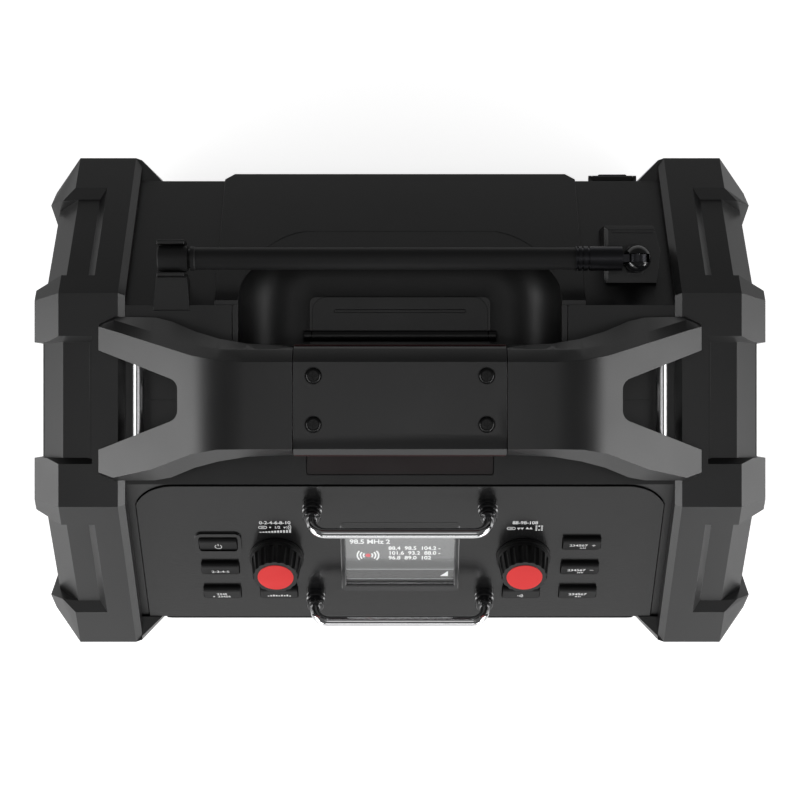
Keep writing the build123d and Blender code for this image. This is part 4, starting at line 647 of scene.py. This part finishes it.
screen_wide, screen_tall = 59.6, 44.7
lens_margin = 1.2
lens_top, lens_underside = -0.5, -2.2
lens_corner_radius, lens_edge_radius = 1.0, 0.15
picture_level = -2.5
screen_up = 0.05  # the screen's middle, up the slope from the knobs' axis
clear = bpy.data.materials.new("clear_lens")
clear.use_nodes = True
clear_nodes, clear_links = clear.node_tree.nodes, clear.node_tree.links
clear_shader = clear_nodes["Principled BSDF"]
clear_shader.inputs["Base Color"].default_value = (1.0, 1.0, 1.0, 1.0)
clear_shader.inputs["Transmission Weight"].default_value = 1.0
clear_shader.inputs["IOR"].default_value = 1.45
clear_shader.inputs["Specular IOR Level"].default_value = 0.3
haze = clear_nodes.new("ShaderNodeTexNoise")
haze.inputs["Scale"].default_value = 60.0
haze_range = clear_nodes.new("ShaderNodeMapRange")
haze_range.inputs["To Min"].default_value = 0.0
haze_range.inputs["To Max"].default_value = 0.05
clear_place = clear_nodes.new("ShaderNodeTexCoord")
clear_links.new(clear_place.outputs["Object"], haze.inputs["Vector"])
clear_links.new(haze.outputs["Fac"], haze_range.inputs["Value"])
clear_links.new(haze_range.outputs["Result"], clear_shader.inputs["Roughness"])
lens = bmesh.new()
block(lens, screen_wide + 2 * lens_margin, screen_tall + 2 * lens_margin, lens_underside, lens_top)
lens_uprights = [edge for edge in lens.edges if abs(edge.verts[0].co.z - edge.verts[1].co.z) > 1.0]
bevelled(lens, lens_uprights, lens_corner_radius, 4)
lens_rim = [edge for edge in lens.edges if all(v.co.z > lens_top - 0.01 for v in edge.verts)]
bevelled(lens, lens_rim, lens_edge_radius, 2)
shade(lens)
bmesh.ops.transform(lens, matrix=on_panel @ Matrix.Translation((0.0, screen_up, 0.0)), verts=lens.verts)
even_shading(as_piece(lens, "screen_lens", clear, "radio_body", ("display_lens",)))


def lit(name, low, high):
    """A lit part of the screen's picture, which goes from one grey to another up the screen."""
    material = bpy.data.materials.new(name)
    material.use_nodes = True
    nodes, links = material.node_tree.nodes, material.node_tree.links
    shader = nodes["Principled BSDF"]
    shader.inputs["Base Color"].default_value = (0.02, 0.02, 0.02, 1.0)
    shader.inputs["Roughness"].default_value = 0.6
    shader.inputs["Emission Strength"].default_value = 1.0
    place = nodes.new("ShaderNodeTexCoord")
    split = nodes.new("ShaderNodeSeparateXYZ")
    climb = nodes.new("ShaderNodeMapRange")
    climb.inputs["From Min"].default_value = knob_axis.y - 0.022 * panel_up.y
    climb.inputs["From Max"].default_value = knob_axis.y + 0.022 * panel_up.y
    tint = nodes.new("ShaderNodeValToRGB")
    tint.color_ramp.elements[0].color = (*low, 1.0)
    tint.color_ramp.elements[1].color = (*high, 1.0)
    links.new(place.outputs["Object"], split.inputs["Vector"])
    links.new(split.outputs["Y"], climb.inputs["Value"])
    links.new(climb.outputs["Result"], tint.inputs["Fac"])
    links.new(tint.outputs["Color"], shader.inputs["Emission Color"])
    return material


screen_grey = lit("screen_grey", (0.135, 0.138, 0.138), (0.195, 0.198, 0.198))
screen_dark = lit("screen_dark", (0.020, 0.020, 0.020), (0.055, 0.057, 0.057))
screen_line = lit("screen_line", (0.30, 0.31, 0.31), (0.45, 0.46, 0.46))
screen_white = lit("screen_white", (0.85, 0.86, 0.86), (0.85, 0.86, 0.86))
screen_red = lit("screen_red", (0.72, 0.07, 0.09), (0.72, 0.07, 0.09))
layer = 0.05
foot_line = -16.2
foot_tall = 7.8


def on_screen(shape, name, material, level):
    """Put a flat layer of the picture on the module, under the lens."""
    place = on_panel @ Matrix.Translation((0.0, screen_up, picture_level + level * layer))
    printed(shape, name, place, "radio_body", material, layer)


sheet = bmesh.new()
bar_mark(sheet, 0.0, 0.0, screen_wide + 0.6, screen_tall + 0.6)
on_screen(sheet, "screen_ground", screen_grey, 0)
sheet = bmesh.new()
bar_mark(sheet, 0.0, foot_line, screen_wide + 0.4, foot_tall)
bar_mark(sheet, 0.0, foot_line - 5.3, screen_wide + 0.4, 2.8)
on_screen(sheet, "screen_footer", screen_dark, 1)
sheet = bmesh.new()
for y, wide in ((foot_line + foot_tall / 2, screen_wide),
                (foot_line - foot_tall / 2, screen_wide - 1.5)):
    bar_mark(sheet, 0.0, y, wide, 0.4)
on_screen(sheet, "screen_lines", screen_line, 2)
sheet = bmesh.new()
figure_mark(sheet, "98.5 MHz 2", -27.6, 10.1, 3.4, "LEFT")
for y, figures in ((4.9, "88.4  98.5  104.2 -"), (1.0, "101.6  93.2  88.0 -"),
                   (-2.9, "96.8  89.0  102")):
    figure_mark(sheet, figures, -6.4, y, 2.8, "LEFT")
corner_mark(sheet, (22.2, foot_line - 1.6), (26.6, foot_line - 1.6), (26.6, foot_line + 2.6))
sign_across, sign_up = -17.6, -0.8
for radius in (2.5, 4.2, 5.9):
    for start in (-38.0, 142.0):
        arc_mark(sheet, sign_across, sign_up, radius, 0.9, start, 76.0)
on_screen(sheet, "screen_signs", screen_white, 2)
sheet = bmesh.new()
dot_mark(sheet, sign_across, sign_up, 1.4)
on_screen(sheet, "screen_red_sign", screen_red, 2)

# ---- Knobs: fluted black caps with a grey crown and a red disc pressed into the top, on the
# steel shafts of two rotary encoders.
knob_plastic = moulded("knob_plastic", (0.0060, 0.0060, 0.0062), 0.42, grain=1500.0, depth=0.00002,
                       specular=0.38)
crown_plastic = moulded("crown_plastic", (0.0150, 0.0150, 0.0153), 0.45, specular=0.4)
red_plastic = moulded("red_plastic", (0.82, 0.050, 0.050), 0.45, mottle=0.02, specular=0.2)
crown_level = 14.4  # out of the panel
rim_from, rim_lowered = 15.0, 1.8  # the top of the moulding sits this much below the solid's


def lowered(shape, start, drop):
    """Move what lies above a level down towards the panel, in millimetres."""
    for vertex in shape.verts:
        spot = off_panel @ vertex.co
        if spot.z > start:
            vertex.co = on_panel @ Vector((spot.x, spot.y, spot.z - drop))


for control in ("volume", "tuning"):
    body = f"{control}_control"
    knob = skin_of(f"{control}_knob")
    lowered(knob, rim_from, rim_lowered)
    round_edges(knob, 0.0004)
    knob = as_piece(knob, f"soft_{control}_knob", knob_plastic, body,
                    (f"{control}_knob",))
    even_shading(knob)
    knob.data.materials.append(crown_plastic)
    for face in knob.data.polygons:
        if (off_panel @ face.center).z > crown_level:
            face.material_index = 1
    cap = skin_of(f"{control}_knob_cap")
    lowered(cap, rim_from, rim_lowered)
    round_edges(cap, 0.0003, 2)
    as_piece(cap, f"soft_{control}_knob_cap", red_plastic, body,
             (f"{control}_knob_cap",))
    smoothed(f"{control}_shaft", steel_pin, body)
smoothed("encoders", steel_pin, "radio_body")

# ---- Guard bars: two chromed steel rods, bent at both ends, which keep knocks off the screen.
# Each foot passes through a ribbed black collar and is nutted under the panel.
bar_across = 47.0
bar_ups = (40.3, -30.8)
bar_radius = 2.75
bar_bend = 8.0
bar_out = 20.1
bar_tail = 10.0
chrome = metal("chrome", (0.80, 0.80, 0.81), 0.06, uneven=0.03, grain=90.0)


def pulled(shape, rim, step):
    """Draw a rim of edges along by a step and return the new rim."""
    made = bmesh.ops.extrude_edge_only(shape, edges=rim)["geom"]
    fresh = {part for part in made if isinstance(part, bmesh.types.BMVert)}
    bmesh.ops.translate(shape, vec=step, verts=list(fresh))
    return [part for part in made
            if isinstance(part, bmesh.types.BMEdge) and fresh.issuperset(part.verts)]


def swept(shape, rim, centre, axis, angle, steps):
    """Sweep a rim of edges round an axis through an angle, in degrees, and return the last rim."""
    corners = {corner for edge in rim for corner in edge.verts}
    last = bmesh.ops.spin(shape, geom=[*rim, *corners], cent=centre, axis=axis, angle=radians(angle),
                          steps=steps)["geom_last"]
    return [part for part in last if isinstance(part, bmesh.types.BMEdge)]


def capped(shape):
    """Close the open ends of a drawn shape and turn its faces outward."""
    bmesh.ops.holes_fill(shape, edges=[edge for edge in shape.edges if edge.is_boundary], sides=0)
    bmesh.ops.recalc_face_normals(shape, faces=shape.faces)


for name, up in zip(("guard_bar_upper", "guard_bar_lower"), bar_ups):
    bar = bmesh.new()
    bmesh.ops.create_circle(bar, cap_ends=False, segments=32, radius=bar_radius,
                            matrix=Matrix.Translation((-bar_across, 0.0, -bar_tail)))
    level = bar_out - bar_bend
    across_bend = bar_across - bar_bend
    rim = pulled(bar, bar.edges[:], (0.0, 0.0, level + bar_tail))
    rim = swept(bar, rim, (-across_bend, 0.0, level), (0.0, 1.0, 0.0), 90, 18)
    rim = pulled(bar, rim, (2 * across_bend, 0.0, 0.0))
    rim = swept(bar, rim, (across_bend, 0.0, level), (0.0, 1.0, 0.0), 90, 18)
    pulled(bar, rim, (0.0, 0.0, -level - bar_tail))
    capped(bar)
    shade(bar)
    bmesh.ops.transform(bar, matrix=on_panel @ Matrix.Translation((0.0, up, 0.0)), verts=bar.verts)
    as_piece(bar, name + "_rod", chrome, "radio_body", (name,))

fixing_black = moulded("fixing_black", (0.010, 0.010, 0.011), 0.17, depth=0.00001, specular=0.8)
collar_profile = ((2.8, 0.0), (5.3, 0.0), (5.3, 1.9), (4.6, 2.3), (5.3, 2.7), (5.3, 4.6),
                  (4.5, 5.0), (4.9, 5.5), (4.9, 8.9), (4.3, 9.7), (2.8, 10.0))
nut_radius = 5.8
nut_top, nut_foot = -2.7, -6.5
collars = bmesh.new()
for up in bar_ups:
    for across in (-bar_across, bar_across):
        spots = [collars.verts.new((across + reach, up, out)) for reach, out in collar_profile]
        chain = [collars.edges.new(pair) for pair in zip(spots, spots[1:] + spots[:1])]
        bmesh.ops.spin(collars, geom=[*spots, *chain], cent=(across, up, 0.0), axis=(0.0, 0.0, 1.0),
                       angle=2 * pi, steps=36, use_merge=True)
        bmesh.ops.create_cone(
            collars, cap_ends=True, segments=6, radius1=nut_radius, radius2=nut_radius,
            depth=nut_top - nut_foot,
            matrix=Matrix.Translation((across, up, (nut_top + nut_foot) / 2)))
bmesh.ops.remove_doubles(collars, verts=collars.verts, dist=0.001)
bmesh.ops.recalc_face_normals(collars, faces=collars.faces)
shade(collars, 40.0)
bmesh.ops.transform(collars, matrix=on_panel, verts=collars.verts)
as_piece(collars, "guard_bar_collars", fixing_black, "radio_body",
         ("guard_bar_fixings",))

# ---- Status window: a moulded lens of smoked red plastic, let into the top over the lamps and
# flush with the housing.
smoked = moulded("smoked_lens", (0.017, 0.0060, 0.0070), 0.20, depth=0.0, specular=0.30)
softened("status_window", smoked, "radio_body", 0.0003)

# ---- Rear hood: a moulded saddle over the top rear edge with a finger pocket, and in the pocket
# a hinged flap over the sockets.
hood_plastic = moulded("hood_plastic", (0.0072, 0.0072, 0.0075), 0.32)
hood_side = 0.0988
hood_cut = 0.0958  # inner edge of the solid's side bevels
hood_bevel = 0.0005  # what is left of their width
hood = skin_of("rear_hood")
for vertex in hood.verts:
    if abs(abs(vertex.co.x) - hood_cut) < 0.0003:
        vertex.co.x *= (hood_side - hood_bevel) / abs(vertex.co.x)
hood_back = max(vertex.co.y for vertex in hood.verts)
corner_wide, corner_deep = 0.0058, 0.0036
for side in (-1, 1):
    bmesh.ops.bisect_plane(hood, geom=[*hood.verts, *hood.edges, *hood.faces],
                           plane_co=(side * (hood_side - corner_wide), hood_back, 0.0),
                           plane_no=(side * corner_deep, corner_wide, 0.0), clear_outer=True)
    capped(hood)
round_edges(hood, 0.0006)
even_shading(as_piece(hood, "soft_rear_hood", hood_plastic, "radio_body",
                      ("rear_hood",)))
pocket_side, pocket_corner = 0.0861, 0.040
pocket_near, pocket_far = 0.027, 0.0930
pocket_floor = 0.196
sweep_radius = 0.030
foot_rise = 0.0016  # the sweep's foot, above the floor; from there the liner falls to the flap
foot_end = 0.0494
liner_depth = 0.0004  # how far the liner reaches into the wall and the floor
hood_face_spot = (0.0, 0.0528, 0.2332)  # a point just under the hood's sloping face
corner_across, corner_along = pocket_side - pocket_corner, pocket_far - pocket_corner
liner = bmesh.new()
sweep_foot = pocket_floor + foot_rise
section = [(pocket_side + liner_depth, pocket_floor - liner_depth),
           (pocket_side + liner_depth, sweep_foot + sweep_radius)]
section += [(pocket_side - sweep_radius * (1.0 - sin(radians(turn))),
             sweep_foot + sweep_radius * (1.0 - cos(radians(turn))))
            for turn in range(90, -1, -6)]
section += [(foot_end, pocket_floor + 0.00005), (foot_end, pocket_floor - liner_depth)]
spots = [liner.verts.new((across, pocket_near, height)) for across, height in section]
rim = [liner.edges.new(pair) for pair in zip(spots, spots[1:] + spots[:1])]
rim = pulled(liner, rim, (0.0, corner_along - pocket_near, 0.0))
rim = swept(liner, rim, (corner_across, corner_along, 0.0), (0.0, 0.0, 1.0), 90, 16)
rim = pulled(liner, rim, (-2 * corner_across, 0.0, 0.0))
rim = swept(liner, rim, (-corner_across, corner_along, 0.0), (0.0, 0.0, 1.0), 90, 16)
pulled(liner, rim, (0.0, pocket_near - corner_along, 0.0))
capped(liner)
bmesh.ops.bisect_plane(liner, geom=[*liner.verts, *liner.edges, *liner.faces], plane_co=hood_face_spot,
                       plane_no=(0.0, -panel_out.y, panel_out.z), clear_outer=True)
bmesh.ops.remove_doubles(liner, verts=liner.verts, dist=0.00002)
capped(liner)
shade(liner, 40.0)
liner_plastic = moulded("liner_plastic", (0.0072, 0.0072, 0.0075), 0.42, specular=0.66)
as_piece(liner, "pocket_liner", liner_plastic, "radio_body")
flap_plastic = moulded("flap_plastic", (0.0125, 0.0125, 0.0128), 0.36)
softened("port_flap", flap_plastic, "port_flap", 0.0003)
smoothed("port_flap_pin", flap_plastic, "radio_body")
softened("port_panel", housing_plastic, "radio_body", 0.0002)

# ---- Antenna: a rod in a rubber sleeve with a ringed metal ferrule, hinged on a slotted ball
# that turns in a block on the top rear edge. Two prongs hold its free end.
antenna_sleeve = moulded("antenna_sleeve", (0.0190, 0.0190, 0.0195), 0.58, specular=0.4)
smoothed("antenna_rod", antenna_sleeve, "antenna")
smoothed("antenna_ferrule", black_oxide, "antenna")
ball_black = moulded("ball_black", (0.010, 0.010, 0.011), 0.14, depth=0.0, specular=0.6)
smoothed("antenna_swivel", ball_black, "radio_body")
smoothed("antenna_pin", steel_pin, "radio_body")
softened("antenna_base", housing_plastic, "radio_body", 0.0004)
softened("antenna_clip", housing_plastic, "radio_body", 0.0006)

# ---- Handle: two moulded arms on a steel core, screwed to it through a plate in the middle,
# with a dark red rubber grip under the plate and a chromed tie bar through each arm.
handle_plastic = moulded("handle_plastic", (0.0125, 0.0125, 0.0128), 0.32, specular=0.65)
plate_plastic = moulded("plate_plastic", (0.0125, 0.0125, 0.0128), 0.32)
grip_rubber = moulded("grip_rubber", (0.030, 0.004, 0.005), 0.60, specular=0.3)
for side in ("left", "right"):
    softened(f"handle_{side}", handle_plastic, "radio_body", 0.002)
finish_node("handle_core", steel_pin)
softened("handle_top_plate", plate_plastic, "radio_body", 0.0008)
softened("handle_grip", grip_rubber, "radio_body", 0.0008)
screw_black = moulded("screw_black", (0.0060, 0.0060, 0.0062), 0.26, depth=0.00001, specular=0.3)
smoothed("handle_screws", screw_black, "radio_body")
tie_chrome = metal("tie_chrome", (0.90, 0.90, 0.91), 0.24)
smoothed("tie_bars", tie_chrome, "radio_body")
